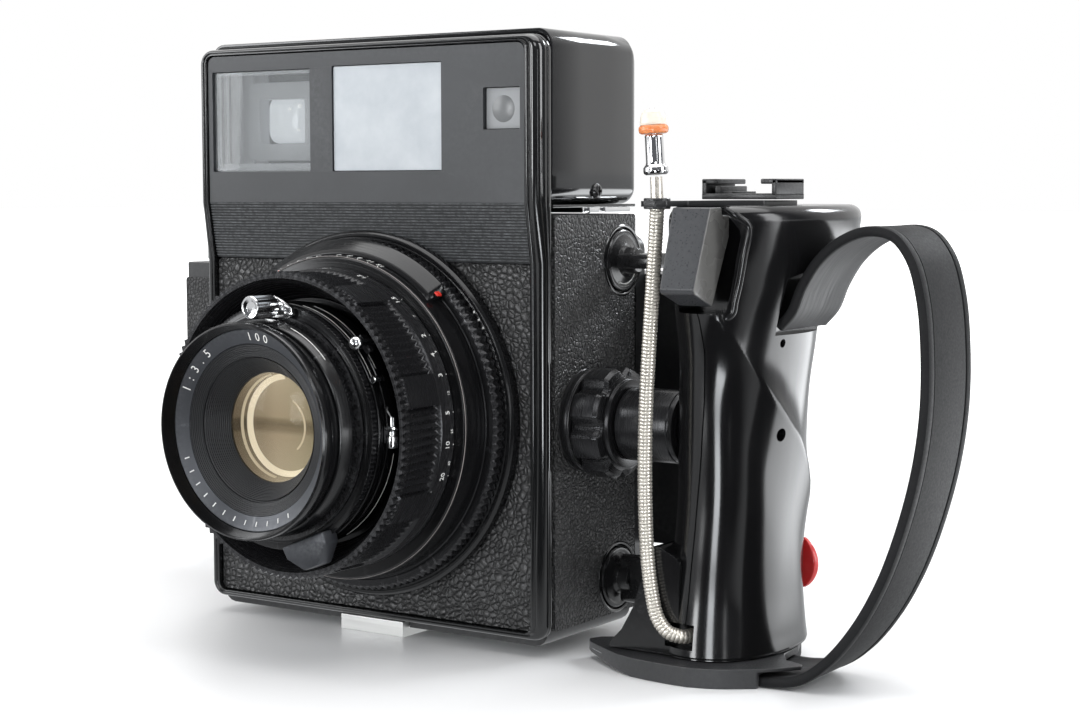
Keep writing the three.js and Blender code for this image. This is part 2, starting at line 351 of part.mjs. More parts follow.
const SEAM_X = 101.6;
{
  let g = loft(GRIP_SECTIONS.map(([z, cx, cy, a, b]) => oval(z, cx, cy, a, b)));
  // web that flares towards the camera at the foot
  g = join(g, slabY([[76, 5.3], [96, 5.3], [96, 30], [87.4, 30], [84.6, 19], [80.5, 11], [77, 7.2]], 6, 24));
  // hollow core, one third of the way into each half
  g = cut(g, loft(GRIP_SECTIONS.filter((r) => r[0] > 5.5 && r[0] < 90).map(([z, cx, cy, a, b], i) => oval(i === 0 ? 9 : z, cx, cy, a - 3.2, b - 3.2, 20))));
  // seat of the bracket
  g = cut(g, rod('x', 10.0, 70, 90.8, GRIP_AXIS.y, GRIP_AXIS.z, 28));
  // trigger pocket
  g = cut(g, slabY([[95.0, 92.8], [109.2, 92.8], [113.4, 111.6], [113.2, 113.4], [110.4, 117.6], [95.0, 117.6]], -10, 15.6), box(95.0, 108.2, -10, 9.5, 117, 125));
  // strap slot on the outer flank
  g = cut(g, slabY([[114.4, 86.6], [125.5, 86.6], [126.5, 103.5], [122.4, 103.5], [114.4, 93]], 20.6, 50.4));
  // cable entry
  g = cut(g, box(93.0, 101.9, -5, 9.6, 7.6, 13.9));
  // two small screw holes on the outer flank
  g = cut(g, rod('x', 1.2, 112, 130, 24, 84.5, 8), rod('x', 1.7, 110, 130, 24, 61.2, 10));
  const left = g.intersect(box(60, SEAM_X - 0.15, -20, 90, 0, 130)), right = g.intersect(box(SEAM_X + 0.15, 140, -20, 90, 0, 130));
  add('grip_half_inner', left, 'black_gloss');
  add('grip_half_outer', right, 'black_gloss');
}
{
  // trigger: boxed, leaning forward at its lower end, pivoting near its top
  let t = slabX([[2.6, 118.8], [-3.9, 98.6], [-3.0, 97.6], [6.4, 94.2], [12.6, 111.5], [12.6, 116.9], [9.0, 116.9], [8.6, 118.8]], 96.4, 107.2);
  add('grip_trigger', t, 'black_gloss');
}
{
  const plate = slabZ([[66.2, 12.2], [68, 9.8], [74, 5.6], [81, 1.2], [86.6, -0.9], [92, -1.9], [104, -2.6], [113, 0.6], [119, 5.0], [124, 10.0], [127.2, 14.2], [126.6, 16.2], [121, 18.5], [117.6, 24], [116.5, 34], [111.5, 46], [106, 51], [90, 51], [84, 46], [82.4, 24], [74, 20.4], [67.6, 15.6]], 0, 5.0);
  const ledge = box(112.5, 130, -5, 60, -1, 3.2), rise = box(119.5, 130, -5, 60, -1, 4.1), toe = slabY([[60, -1], [86.6, -1], [86.6, 0], [66, 2.4], [60, 3.1]], -10, 22);
  add('grip_base', cut(plate, ledge, rise, toe), 'black_satin');
}
{
  // accessory shoe: base and two inward-lipped rails, open towards the front
  const x0 = 92.8, x1 = 114.3, y0 = 24, y1 = 39.5, z = GRIP_TOP + 1.5;
  let s = box(x0, x1, y0, y1, z, z + 1.5);
  for (const [a, b, c] of [[x0, x0 + 1.5, x0 + 4.6], [x1 - 1.5, x1, x1 - 4.6]])
    s = join(s, box(a, b, y0, y1, z + 1, z + 5.2), box(Math.min(a, c), Math.max(b, c), y0, y1, z + 3.9, z + 5.2));
  add('accessory_shoe', s, 'black_satin');
  let p = slabZ([[87.6, 2.2], [89.6, 0.2], [93, 0.2], [95, 2.4], [96.5, 10.5], [112, 22], [112, 41], [95, 41], [90, 16], [87.6, 7]], GRIP_TOP + GAP, GRIP_TOP + 1.2);
  p = cut(p, rod('z', 2.35, GRIP_TOP - 1, GRIP_TOP + 3, 91.3, 4, 16));
  add('cable_clip', p, 'black_satin');
}

// ---------------------------------------------------------------- cable release
{
  const path = new THREE.CatmullRomCurve3([[91.0, 4, 126.4], [91.2, 4, 122.5], [91.3, 4, 119.9], [90.4, 4, 104], [89.2, 4, 86], [88.3, 4, 70], [87.95, 4, 56], [88.1, 4, 42],
    [88.8, 4, 30], [90.2, 3.8, 21], [92.2, 3.4, 15], [95.2, 3.8, 11.6], [98.0, 5.8, 10.5], [99.2, 8.8, 10.4]].map(([x, y, z]) => new THREE.Vector3(x, y, z)));
  const ring = [];
  for (let i = 0; i < 8; i++) { const a = 2 * Math.PI * i / 8; ring.push(new THREE.Vector2(CABLE_R * Math.cos(a), CABLE_R * Math.sin(a))); }
  add('cable_sheath', solid(new THREE.ExtrudeGeometry(new THREE.Shape(ring), { steps: 30, extrudePath: path, bevelEnabled: false })), 'aluminium');
  const tilt = (m) => m.translate([-91.0, -4, -127]).rotate([0, -4, 0]).translate([91.0, 4, 127]);
  const at = (prof, seg = 18) => tilt(turnedZ(prof, 91.0, 4, seg));
  add('cable_barrel', at([[0.95, 126.9], [2.9, 126.9], [3.1, 127.6], [3.1, 128.6], [2.4, 129.3], [2.2, 136.2], [2.2, 136.9], [0.95, 136.9], [0.95, 126.9]]), 'chrome');
  add('cable_tip_ring', at([[0.95, 137.2], [3.6, 137.2], [3.75, 138.6], [3.4, 140.0], [2.6, 140.2], [2.4, 143.2], [0.95, 143.2], [0.95, 137.2]]), 'orange');
  add('cable_plunger', at([[0, 128.5], [0.65, 128.5], [0.65, 143.6], [0, 143.6]], 10), 'chrome');
}

// ---------------------------------------------------------------- hand strap
{
  const line = [[115.8, 88.6, 22], [119.4, 92.6, 22], [122.2, 99.0, 22], [126.6, 105.6, 22], [132.6, 110.4, 21.8], [139.6, 112.9, 21.6], [146.6, 111.9, 21.2], [151.8, 106.4, 20.4],
    [155.0, 97.0, 19.6], [156.9, 84, 18.2], [157.5, 70, 16.6], [156.4, 56, 14.8], [153.6, 42, 12.8], [149.4, 28.8, 11.0], [143.6, 17.2, 9.4], [136.6, 8.2, 8.2], [129.6, 3.0, 7.4], [122, 1.5, 7.0], [114, 1.5, 7.0]];
  const curve = new THREE.CatmullRomCurve3(line.map(([x, z, y]) => new THREE.Vector3(x, y, z)), false, 'centripetal');
  const loops = [], N = 44;
  for (let i = 0; i <= N; i++) {
    const p = curve.getPoint(i / N), t = curve.getTangent(i / N);
    const l = Math.hypot(t.x, t.z), nx = -t.z / l * STRAP.t / 2, nz = t.x / l * STRAP.t / 2;
    loops.push([[p.x + nx, p.y, p.z + nz], [p.x + nx, p.y + STRAP.w, p.z + nz], [p.x - nx, p.y + STRAP.w, p.z - nz], [p.x - nx, p.y, p.z - nz]]);
  }
  add('hand_strap', loft(loops), 'rubber');
}
// small red thumb lever on the back of the grip, near its foot
add('grip_rear_lever', join(
  slabZ([[104.6, 53.2], [108.6, 50.9], [113.2, 49.5], [114.1, 50.9], [109.6, 53.0], [105.4, 54.6]], 16.8, 30.2)), 'red');

export default camera;
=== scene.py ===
import bpy, bmesh, math, json
from mathutils import Vector, Matrix, geometry


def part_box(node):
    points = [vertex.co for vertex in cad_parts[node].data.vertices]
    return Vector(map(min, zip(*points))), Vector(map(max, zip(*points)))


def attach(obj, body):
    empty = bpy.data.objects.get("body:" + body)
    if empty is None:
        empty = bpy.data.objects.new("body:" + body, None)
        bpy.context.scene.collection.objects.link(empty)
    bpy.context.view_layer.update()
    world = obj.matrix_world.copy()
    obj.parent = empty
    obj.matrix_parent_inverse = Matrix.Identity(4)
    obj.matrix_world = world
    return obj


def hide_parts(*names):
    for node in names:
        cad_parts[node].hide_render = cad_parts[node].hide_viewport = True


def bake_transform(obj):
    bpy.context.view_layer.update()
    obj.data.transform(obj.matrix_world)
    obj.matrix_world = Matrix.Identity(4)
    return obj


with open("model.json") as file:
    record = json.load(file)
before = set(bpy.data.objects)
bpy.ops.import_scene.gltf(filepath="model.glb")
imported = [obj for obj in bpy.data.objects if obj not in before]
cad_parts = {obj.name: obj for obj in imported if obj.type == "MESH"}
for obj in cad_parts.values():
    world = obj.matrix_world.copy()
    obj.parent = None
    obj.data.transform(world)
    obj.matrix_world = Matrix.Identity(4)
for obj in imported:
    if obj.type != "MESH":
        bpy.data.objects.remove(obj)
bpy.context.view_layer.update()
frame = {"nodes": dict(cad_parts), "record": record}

# ------------------------------------------------------------------ units
# Lengths below are in millimetres with y measured from the finder face; OY moves them to the part's origin.
OY = 24.0
AXZ = 61.745
def W(p): return Vector((p[0] / 1000.0, (p[1] - OY) / 1000.0, p[2] / 1000.0))
sin, cos, pi, rad = math.sin, math.cos, math.pi, math.radians
def lerp(a, b, t): return a + (b - a) * t
def smooth01(t):
    t = max(0.0, min(1.0, t)); return t * t * (3 - 2 * t)

# ------------------------------------------------------------------ materials
MATS = {}
class NT:
    """Small helper around a material's node tree."""
    def __init__(s, name):
        s.m = bpy.data.materials.new(name); s.m.use_nodes = True
        s.t = s.m.node_tree; s.n = s.t.nodes; s.l = s.t.links
        s.b = s.n["Principled BSDF"]; s.out = s.n["Material Output"]
        MATS[name] = s.m
    def set(s, **k):
        for a, v in k.items():
            s.b.inputs[a.replace("_", " ")].default_value = v
        return s
    def node(s, kind, **k):
        n = s.n.new(kind)
        for a, v in k.items():
            if a.startswith("i_"):
                n.inputs[a[2:].replace("_", " ")].default_value = v
            else: setattr(n, a, v)
        return n
    def coord(s, scale=(1, 1, 1), rot=(0, 0, 0), loc=(0, 0, 0)):
        c = s.node("ShaderNodeTexCoord"); m = s.node("ShaderNodeMapping")
        m.inputs["Scale"].default_value = scale; m.inputs["Rotation"].default_value = rot; m.inputs["Location"].default_value = loc
        s.l.new(c.outputs["Object"], m.inputs["Vector"]); return m.outputs["Vector"]
    def noise(s, scale, detail=4, rough=0.55, vec=None, dist=0.0):
        n = s.node("ShaderNodeTexNoise", i_Scale=scale, i_Detail=detail, i_Roughness=rough, i_Distortion=dist)
        s.l.new(vec if vec is not None else s.coord(), n.inputs["Vector"]); return n.outputs["Fac"]
    def ramp(s, src, stops):
        r = s.node("ShaderNodeValToRGB"); e = r.color_ramp.elements
        while len(e) > 1: e.remove(e[-1])
        e[0].position = stops[0][0]; e[0].color = col(stops[0][1])
        for p, c in stops[1:]:
            q = e.new(p); q.color = col(c)
        s.l.new(src, r.inputs["Fac"]); return r.outputs["Color"]
    def mapr(s, src, a, b, lo=0.0, hi=1.0):
        r = s.node("ShaderNodeMapRange"); r.inputs["From Min"].default_value = lo; r.inputs["From Max"].default_value = hi
        r.inputs["To Min"].default_value = a; r.inputs["To Max"].default_value = b
        s.l.new(src, r.inputs["Value"]); return r.outputs["Result"]
    def mathn(s, op, a, b=None, c=None):
        m = s.node("ShaderNodeMath", operation=op)
        for i, v in enumerate((a, b, c)):
            if v is None: continue
            if isinstance(v, (int, float)): m.inputs[i].default_value = v
            else: s.l.new(v, m.inputs[i])
        return m.outputs[0]
    def mix(s, f, a, b):
        m = s.node("ShaderNodeMix", data_type="RGBA")
        for sock, v in ((m.inputs[0], f), (m.inputs[6], a), (m.inputs[7], b)):
            if isinstance(v, (int, float)): sock.default_value = v
            elif isinstance(v, tuple): sock.default_value = col(v)
            else: s.l.new(v, sock)
        return m.outputs[2]
    def link(s, src, inp): s.l.new(src, s.b.inputs[inp]); return s
    def bump(s, h, dist, strength=1.0, prev=None):
        b = s.node("ShaderNodeBump"); b.inputs["Distance"].default_value = dist; b.inputs["Strength"].default_value = strength
        s.l.new(h, b.inputs["Height"])
        if prev is not None: s.l.new(prev, b.inputs["Normal"])
        s.l.new(b.outputs["Normal"], s.b.inputs["Normal"]); return b.outputs["Normal"]
    # lighter colour on sharp edges found by pointiness: partly real edge wear, partly a painted highlight along the
    # edges
    def wear_and_sheen(s, lo=0.52, hi=0.62):
        g = s.node("ShaderNodeNewGeometry")
        r = s.ramp(g.outputs["Pointiness"], [(lo, (0, 0, 0)), (hi, (1, 1, 1))])
        n = s.noise(900, 3, 0.6)
        return s.mathn("MULTIPLY", r, s.mapr(n, 0.0, 1.0, 0.35, 0.7))
def col(c): return (c[0], c[1], c[2], 1.0) if len(c) == 3 else tuple(c)

def black_metal(name, base, rough, spread=0.08, bump=0.00001, metal=0.0, grain=1400, coat=0.0, worn_sheen=(0.06, 0.06, 0.062), ior=1.5):
    s = NT(name); v = s.coord()
    big = s.noise(38, 5, 0.6, v); fine = s.noise(grain, 3, 0.5, v)
    c = s.mix(s.mapr(big, 0, 1, 0.3, 0.7), tuple(x * 0.85 for x in base), tuple(x * 1.2 for x in base))
    # edges take the lighter colour: wear plus a painted edge highlight
    s.link(s.mix(s.wear_and_sheen(), c, worn_sheen), "Base Color")
    s.link(s.mapr(s.mathn("ADD", s.mathn("MULTIPLY", big, 0.6), s.mathn("MULTIPLY", fine, 0.4)), rough - spread, rough + spread, 0.3, 0.7), "Roughness")
    s.set(Metallic=metal, IOR=ior, Coat_Weight=coat, Coat_Roughness=0.06)
    s.bump(fine, bump, 0.6)
    return s.m

def turned_metal(name, base, rough, rings=2600, axis="y", metal=0.55, depth=0.000012, worn_sheen=(0.11, 0.11, 0.115)):
    """Anodised metal with fine lathe marks around the lens axis."""
    s = NT(name)
    c = s.node("ShaderNodeTexCoord"); sep = s.node("ShaderNodeSeparateXYZ"); s.l.new(c.outputs["Object"], sep.inputs[0])
    if axis == "y":
        a, b, h = sep.outputs["X"], s.mathn("SUBTRACT", sep.outputs["Z"], AXZ / 1000), sep.outputs["Y"]
    else:
        a, b, h = s.mathn("SUBTRACT", sep.outputs["Y"], (22 - OY) / 1000), s.mathn("SUBTRACT", sep.outputs["Z"], 0.0616), sep.outputs["X"]
    r = s.mathn("SQRT", s.mathn("ADD", s.mathn("MULTIPLY", a, a), s.mathn("MULTIPLY", b, b)))
    comb = s.node("ShaderNodeCombineXYZ"); s.l.new(r, comb.inputs[0]); s.l.new(h, comb.inputs[1])
    n = s.noise(rings, 2, 0.7, comb.outputs[0]); big = s.noise(60, 4, 0.6)
    # edges take the lighter colour: wear plus a painted edge highlight
    s.link(s.mix(s.wear_and_sheen(0.53, 0.66), s.mix(big, tuple(x * 0.8 for x in base), tuple(x * 1.25 for x in base)), worn_sheen), "Base Color")
    s.link(s.mapr(n, rough - 0.09, rough + 0.11, 0.3, 0.7), "Roughness")
    s.set(Metallic=metal); s.bump(n, depth, 0.55)
    return s.m

def build_materials():
    black_metal("enamel_gloss", (0.0065, 0.0067, 0.0072), 0.12, 0.03, 0.000004, grain=260, coat=0.35, worn_sheen=(0.02, 0.02, 0.021))
    black_metal("enamel_satin", (0.010, 0.0102, 0.011), 0.36, 0.06, 0.00001)
    black_metal("black_crackle", (0.009, 0.009, 0.0095), 0.5, 0.08, 0.00004, grain=2300)
    black_metal("knob_black", (0.012, 0.012, 0.0128), 0.22, 0.06, 0.000006, worn_sheen=(0.05, 0.05, 0.052))
    black_metal("faceplate_grey", (0.024, 0.0258, 0.0285), 0.40, 0.05, 0.000008, grain=1900, worn_sheen=(0.10, 0.105, 0.11))
    black_metal("band_grey", (0.017, 0.0182, 0.020), 0.40, 0.05, 0.000008, grain=1900, worn_sheen=(0.09, 0.095, 0.10))
    black_metal("black_flat", (0.004, 0.004, 0.0042), 0.75, 0.05, 0.00001)
    turned_metal("lens_black", (0.017, 0.017, 0.0185), 0.24)
    turned_metal("lens_gloss", (0.006, 0.006, 0.0066), 0.17, metal=0.2, worn_sheen=(0.05, 0.05, 0.053))
    turned_metal("lens_satin", (0.050, 0.053, 0.060), 0.38, worn_sheen=(0.16, 0.165, 0.17))
    turned_metal("lens_cone", (0.016, 0.0165, 0.018), 0.42, rings=4200, metal=0.3)
    turned_metal("knob_turned", (0.018, 0.018, 0.0195), 0.26, axis="x")

    # coarse pebbled leatherette: rounded grains between fine wandering creases
    for name, cell, depth, flat in (("leatherette", 600, 0.00078, 0.65), ("leatherette_fine", 800, 0.00050, 0.36)):
        s = NT(name)
        v = s.coord()
        warp = s.node("ShaderNodeTexNoise", i_Scale=cell * 0.35, i_Detail=3.0)
        s.l.new(v, warp.inputs["Vector"])
        wv = s.node("ShaderNodeVectorMath", operation="MULTIPLY_ADD")
        s.l.new(warp.outputs["Color"], wv.inputs[0]); wv.inputs[1].default_value = (0.0016, 0.0016, 0.0016); s.l.new(v, wv.inputs[2])
        vo = s.node("ShaderNodeTexVoronoi", feature="DISTANCE_TO_EDGE", i_Scale=cell, i_Randomness=1.0)
        s.l.new(wv.outputs[0], vo.inputs["Vector"])
        f1 = s.node("ShaderNodeTexVoronoi", feature="SMOOTH_F1", i_Scale=cell * 1.0, i_Smoothness=0.35)
        s.l.new(wv.outputs[0], f1.inputs["Vector"])
        grain = s.ramp(vo.outputs["Distance"], [(0.0, (0, 0, 0)), (0.10, (0.55,) * 3), (0.30, (1,) * 3)])
        micro = s.noise(cell * 5, 3, 0.6, v)
        big = s.noise(55, 4, 0.6, v)
        h = s.mathn("ADD", s.mathn("MULTIPLY", grain, 0.8), s.mathn("MULTIPLY", s.mathn("SUBTRACT", 1.0, f1.outputs["Distance"]), 0.45))
        h = s.mathn("ADD", h, s.mathn("MULTIPLY", micro, 0.12))
        h = s.mathn("MULTIPLY", h, s.mapr(big, 0.75, 1.2, 0.3, 0.7))
        # grain tops are painted lighter as highlight and the creases darker as shade, on top of the grain's own tone
        base = s.mix(grain, (0.011, 0.011, 0.0113), (0.060, 0.0598, 0.0608))
        s.link(s.mix(s.mapr(big, 0, 0.5, 0.3, 0.7), base, (0.036, 0.036, 0.0363)), "Base Color")
        s.link(s.mapr(micro, 0.30, 0.52, 0.3, 0.7), "Roughness"); s.set(Specular_IOR_Level=flat)
        s.bump(h, depth, 1.0)

    s = NT("chrome"); n = s.noise(120, 4); s.link(s.mapr(n, 0.05, 0.16, 0.3, 0.7), "Roughness")
    s.link(s.mix(s.noise(40, 3), (0.62, 0.62, 0.63), (0.78, 0.78, 0.78)), "Base Color"); s.set(Metallic=1.0); s.bump(s.noise(700, 2), 0.000004)
    s = NT("steel"); n = s.noise(300, 4, vec=s.coord((1, 14, 1))); s.link(s.mapr(n, 0.2, 0.38, 0.3, 0.7), "Roughness")
    s.link(s.mix(n, (0.42, 0.42, 0.43), (0.6, 0.6, 0.6)), "Base Color"); s.set(Metallic=1.0)
    s = NT("aluminium"); n = s.noise(420, 4, 0.6, s.coord((0.08, 3, 3)))
    s.link(s.mapr(n, 0.34, 0.5, 0.3, 0.7), "Roughness"); s.link(s.mix(n, (0.55, 0.55, 0.54), (0.74, 0.74, 0.72)), "Base Color")
    s.set(Metallic=0.85); s.bump(n, 0.00001)
    s = NT("sheath"); n = s.noise(500, 3); s.link(s.mapr(n, 0.22, 0.36, 0.3, 0.7), "Roughness")
    s.link(s.mix(s.noise(90, 3), (0.62, 0.585, 0.52), (0.76, 0.72, 0.65)), "Base Color"); s.set(Metallic=0.7)
    # darker colour for the gaps of the winding: painted shade between the coils
    s = NT("sheath_gap_painted_shade"); s.link(s.mix(s.noise(90, 3), (0.20, 0.18, 0.15), (0.30, 0.28, 0.24)), "Base Color"); s.set(Metallic=0.5, Roughness=0.5)
    s = NT("brass"); s.link(s.mix(s.noise(200, 3), (0.45, 0.30, 0.12), (0.62, 0.45, 0.2)), "Base Color"); s.set(Metallic=1.0, Roughness=0.3)

    # polished moulded plastic of the grip
    s = NT("moulded_black"); v = s.coord(); big = s.noise(30, 4, 0.55, v); fine = s.noise(1500, 2, 0.5, v)
    scr = s.noise(260, 3, 0.6, s.coord((1.0, 1.0, 0.06)))
    s.link(s.mix(s.wear_and_sheen(0.525, 0.64), s.mix(big, (0.0042, 0.0042, 0.0045), (0.0065, 0.0065, 0.007)), (0.03, 0.03, 0.032)), "Base Color")
    s.link(s.mapr(s.mathn("ADD", s.mathn("MULTIPLY", big, 0.5), s.mathn("MULTIPLY", scr, 0.5)), 0.10, 0.19, 0.35, 0.65), "Roughness")
    s.bump(fine, 0.000004, 0.4); s.set(IOR=1.5)
    s = NT("trigger_black"); fine = s.noise(1800, 2)
    s.link(s.mix(s.wear_and_sheen(0.52, 0.62), (0.034, 0.0355, 0.039), (0.10, 0.10, 0.103)), "Base Color"); s.link(s.mapr(fine, 0.26, 0.36, 0.3, 0.7), "Roughness"); s.bump(fine, 0.00001)
    # side faces get a lighter colour: a painted reflection of the pocket wall, not a different finish
    s = NT("trigger_side_painted_reflection"); fine = s.noise(60, 3)
    s.link(s.mix(fine, (0.085, 0.084, 0.081), (0.145, 0.1435, 0.138)), "Base Color"); s.link(s.mapr(fine, 0.24, 0.36, 0.3, 0.7), "Roughness")
    s = NT("foot_black"); fine = s.noise(1600, 2)
    s.link(s.mix(s.wear_and_sheen(0.52, 0.62), (0.020, 0.0205, 0.022), (0.07, 0.07, 0.072)), "Base Color"); s.link(s.mapr(fine, 0.36, 0.5, 0.3, 0.7), "Roughness"); s.bump(fine, 0.00001)
    # moulded rubber with long drag marks along the strap
    s = NT("strap_rubber"); v = s.coord(); n = s.noise(160, 4, 0.6, v); f = s.noise(1500, 3, 0.6, v)
    s.link(s.mix(n, (0.006, 0.0062, 0.0068), (0.012, 0.0122, 0.013)), "Base Color"); s.link(s.mapr(f, 0.56, 0.72, 0.3, 0.7), "Roughness"); s.set(Specular_IOR_Level=0.15); s.bump(f, 0.00002)
    s = NT("strap_inner"); v = s.coord((1, 30, 1)); n = s.noise(55, 5, 0.65, v); f = s.noise(1200, 3)
    s.link(s.mix(n, (0.007, 0.0073, 0.008), (0.026, 0.0263, 0.0285)), "Base Color"); s.link(s.mapr(n, 0.44, 0.66, 0.3, 0.7), "Roughness"); s.set(Specular_IOR_Level=0.3); s.bump(n, 0.00004, 0.7)
    s = NT("cloth_black"); v = s.coord()
    w1 = s.node("ShaderNodeTexWave", wave_type="BANDS", bands_direction="X", i_Scale=700.0); w2 = s.node("ShaderNodeTexWave", wave_type="BANDS", bands_direction="Z", i_Scale=700.0)
    s.l.new(v, w1.inputs["Vector"]); s.l.new(v, w2.inputs["Vector"])
    h = s.mathn("MULTIPLY", w1.outputs["Fac"], w2.outputs["Fac"])
    s.link(s.mix(h, (0.004, 0.004, 0.004), (0.012, 0.012, 0.012)), "Base Color"); s.set(Roughness=0.85); s.bump(h, 0.00006)

    # glazing
    s = NT("clear_glass"); s.set(Base_Color=(0.93, 0.95, 0.96, 1), Roughness=0.02, IOR=1.45, Transmission_Weight=1.0); s.bump(s.noise(60, 2), 0.000004, 0.3)
    # faint emission: painted light for light passing through the frosted pane
    s = NT("frosted_white"); n = s.noise(110, 4, 0.6)
    s.link(s.mix(s.mapr(n, 0, 1, 0.3, 0.7), (0.34, 0.365, 0.39), (0.41, 0.435, 0.455)), "Base Color"); s.set(Roughness=0.38, Emission_Strength=0.02, Emission_Color=(0.86, 0.92, 0.97, 1)); s.bump(s.noise(2000, 2), 0.00001)
    s = NT("window_grey"); n = s.noise(90, 4)
    s.link(s.mix(n, (0.21, 0.218, 0.225), (0.29, 0.298, 0.305)), "Base Color"); s.set(Roughness=0.25)
    s = NT("window_dark"); s.link(s.mix(s.noise(400, 3), (0.10, 0.105, 0.108), (0.14, 0.145, 0.147)), "Base Color"); s.set(Roughness=0.3)
    # tunnel walls and steps glow by emission: painted light standing in for light coming in through the pane
    s = NT("tunnel_grey"); n = s.noise(26, 3, 0.5, s.coord((40, 1, 1)))
    s.link(s.mix(n, (0.09, 0.094, 0.098), (0.21, 0.215, 0.22)), "Base Color"); s.set(Roughness=0.45, Emission_Strength=1.0); s.link(s.mix(n, (0.0, 0.0, 0.0), (0.05, 0.052, 0.056)), "Emission Color")
    s = NT("tunnel_light"); n = s.noise(50, 3)
    s.link(s.mix(n, (0.29, 0.295, 0.305), (0.38, 0.385, 0.395)), "Base Color"); s.set(Roughness=0.35, Emission_Strength=1.0); s.link(s.mix(n, (0.06, 0.062, 0.065), (0.13, 0.133, 0.139)), "Emission Color")
    s = NT("coated_glass"); s.set(Base_Color=(0.98, 0.93, 0.84, 1), Roughness=0.01, IOR=1.62, Transmission_Weight=1.0); s.bump(s.noise(30, 2), 0.000002, 0.2)
    s = NT("lens_inner_warm"); n = s.noise(60, 3)
    s.link(s.mix(n, (0.36, 0.29, 0.19), (0.47, 0.39, 0.27)), "Base Color"); s.set(Roughness=0.3)
    s = NT("lens_inner_painted_glint"); s.link(s.mix(s.noise(80, 3), (0.66, 0.62, 0.53), (0.78, 0.75, 0.68)), "Base Color"); s.set(Roughness=0.2)
    s = NT("lens_inner_dark"); s.link(s.mix(s.noise(80, 3), (0.10, 0.088, 0.07), (0.17, 0.15, 0.12)), "Base Color"); s.set(Roughness=0.35)

    s = NT("white_fill"); s.link(s.mix(s.noise(900, 3), (0.62, 0.62, 0.6), (0.8, 0.8, 0.78)), "Base Color"); s.set(Roughness=0.5)
    s = NT("faint_fill"); s.link(s.mix(s.noise(60, 3), (0.10, 0.085, 0.08), (0.34, 0.31, 0.30)), "Base Color"); s.set(Roughness=0.5)
    s = NT("red_fill"); s.link(s.mix(s.noise(900, 3), (0.55, 0.02, 0.015), (0.75, 0.05, 0.03)), "Base Color"); s.set(Roughness=0.4)
    s = NT("orange_plastic"); n = s.noise(300, 3)
    s.link(s.mix(n, (0.72, 0.20, 0.06), (0.85, 0.34, 0.13)), "Base Color"); s.set(Roughness=0.25, Transmission_Weight=0.25, Subsurface_Weight=0.25, Subsurface_Scale=0.002, Subsurface_Radius=(1.0, 0.45, 0.2))
    s = NT("pale_plastic"); n = s.noise(300, 3)
    s.link(s.mix(n, (0.80, 0.74, 0.64), (0.9, 0.85, 0.76)), "Base Color"); s.set(Roughness=0.35, Transmission_Weight=0.3)
    s = NT("red_plastic"); n = s.noise(200, 3)
    s.link(s.mix(n, (0.62, 0.035, 0.04), (0.80, 0.09, 0.085)), "Base Color"); s.set(Roughness=0.22, Transmission_Weight=0.2, Subsurface_Weight=0.3, Subsurface_Scale=0.004, Subsurface_Radius=(1.0, 0.25, 0.2))
    s = NT("spool_plastic"); n = s.noise(700, 3); s.link(s.mix(n, (0.012, 0.012, 0.012), (0.022, 0.022, 0.022)), "Base Color"); s.set(Roughness=0.5); s.bump(n, 0.00002)
    s = NT("floor_white"); n = s.noise(3.0, 3)
    s.link(s.mix(n, (0.80, 0.80, 0.805), (0.83, 0.83, 0.83)), "Base Color"); s.set(Roughness=0.32, Specular_IOR_Level=0.4)
    # the floor glows, weakly near the camera body and more strongly farther out: painted light on the floor
    c = s.node("ShaderNodeTexCoord"); ln = s.node("ShaderNodeVectorMath", operation="LENGTH"); s.l.new(c.outputs["Object"], ln.inputs[0])
    s.link(s.mapr(ln.outputs["Value"], 0.0, 0.9, 0.28, 1.1), "Emission Strength"); s.set(Emission_Color=(1, 1, 1, 1))
build_materials()

# ------------------------------------------------------------------ mesh kit
def finish_mesh(me, angle=32, flip=None):
    bm = bmesh.new(); bm.from_mesh(me)
    bmesh.ops.remove_doubles(bm, verts=bm.verts, dist=1e-7)
    bmesh.ops.recalc_face_normals(bm, faces=bm.faces)
    lim = rad(angle)
    for e in bm.edges:
        if len(e.link_faces) == 2:
            try: e.smooth = e.calc_face_angle() < lim
            except ValueError: e.smooth = True
        else: e.smooth = False
    for f in bm.faces: f.smooth = True
    bm.to_mesh(me); bm.free(); me.update()

def obj_from(name, verts, faces, mats, midx=None, angle=32, mm=True):
    me = bpy.data.meshes.new(name)
    me.from_pydata([W(v) for v in verts] if mm else [Vector(v) for v in verts], [], faces)
    me.validate()
    o = bpy.data.objects.new(name, me); bpy.context.scene.collection.objects.link(o)
    for m in (mats if isinstance(mats, (list, tuple)) else [mats]): me.materials.append(MATS[m])
    if midx:
        for p, i in zip(me.polygons, midx): p.material_index = i
    finish_mesh(me, angle)
    return o

def bevel(o, width_mm, seg=2, angle=35):
    b = o.modifiers.new("bevel", "BEVEL"); b.width = width_mm / 1000; b.segments = seg; b.limit_method = "ANGLE"; b.angle_limit = rad(angle)
    b.harden_normals = False; b.miter_outer = "MITER_ARC"
    return o

def apply_mods(o, angle=32):
    dg = bpy.context.evaluated_depsgraph_get()
    me = bpy.data.meshes.new_from_object(o.evaluated_get(dg), preserve_all_data_layers=False, depsgraph=dg)
    o.modifiers.clear(); old = o.data; o.data = me; me.name = o.name
    bpy.data.meshes.remove(old)
    finish_mesh(me, angle)
    wn = o.modifiers.new("flat", "WEIGHTED_NORMAL"); wn.keep_sharp = True; wn.weight = 80
    return o

def place(o, body, nodes=()):
    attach(o, body)
    if nodes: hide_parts(*( [nodes] if isinstance(nodes, str) else nodes))
    return o

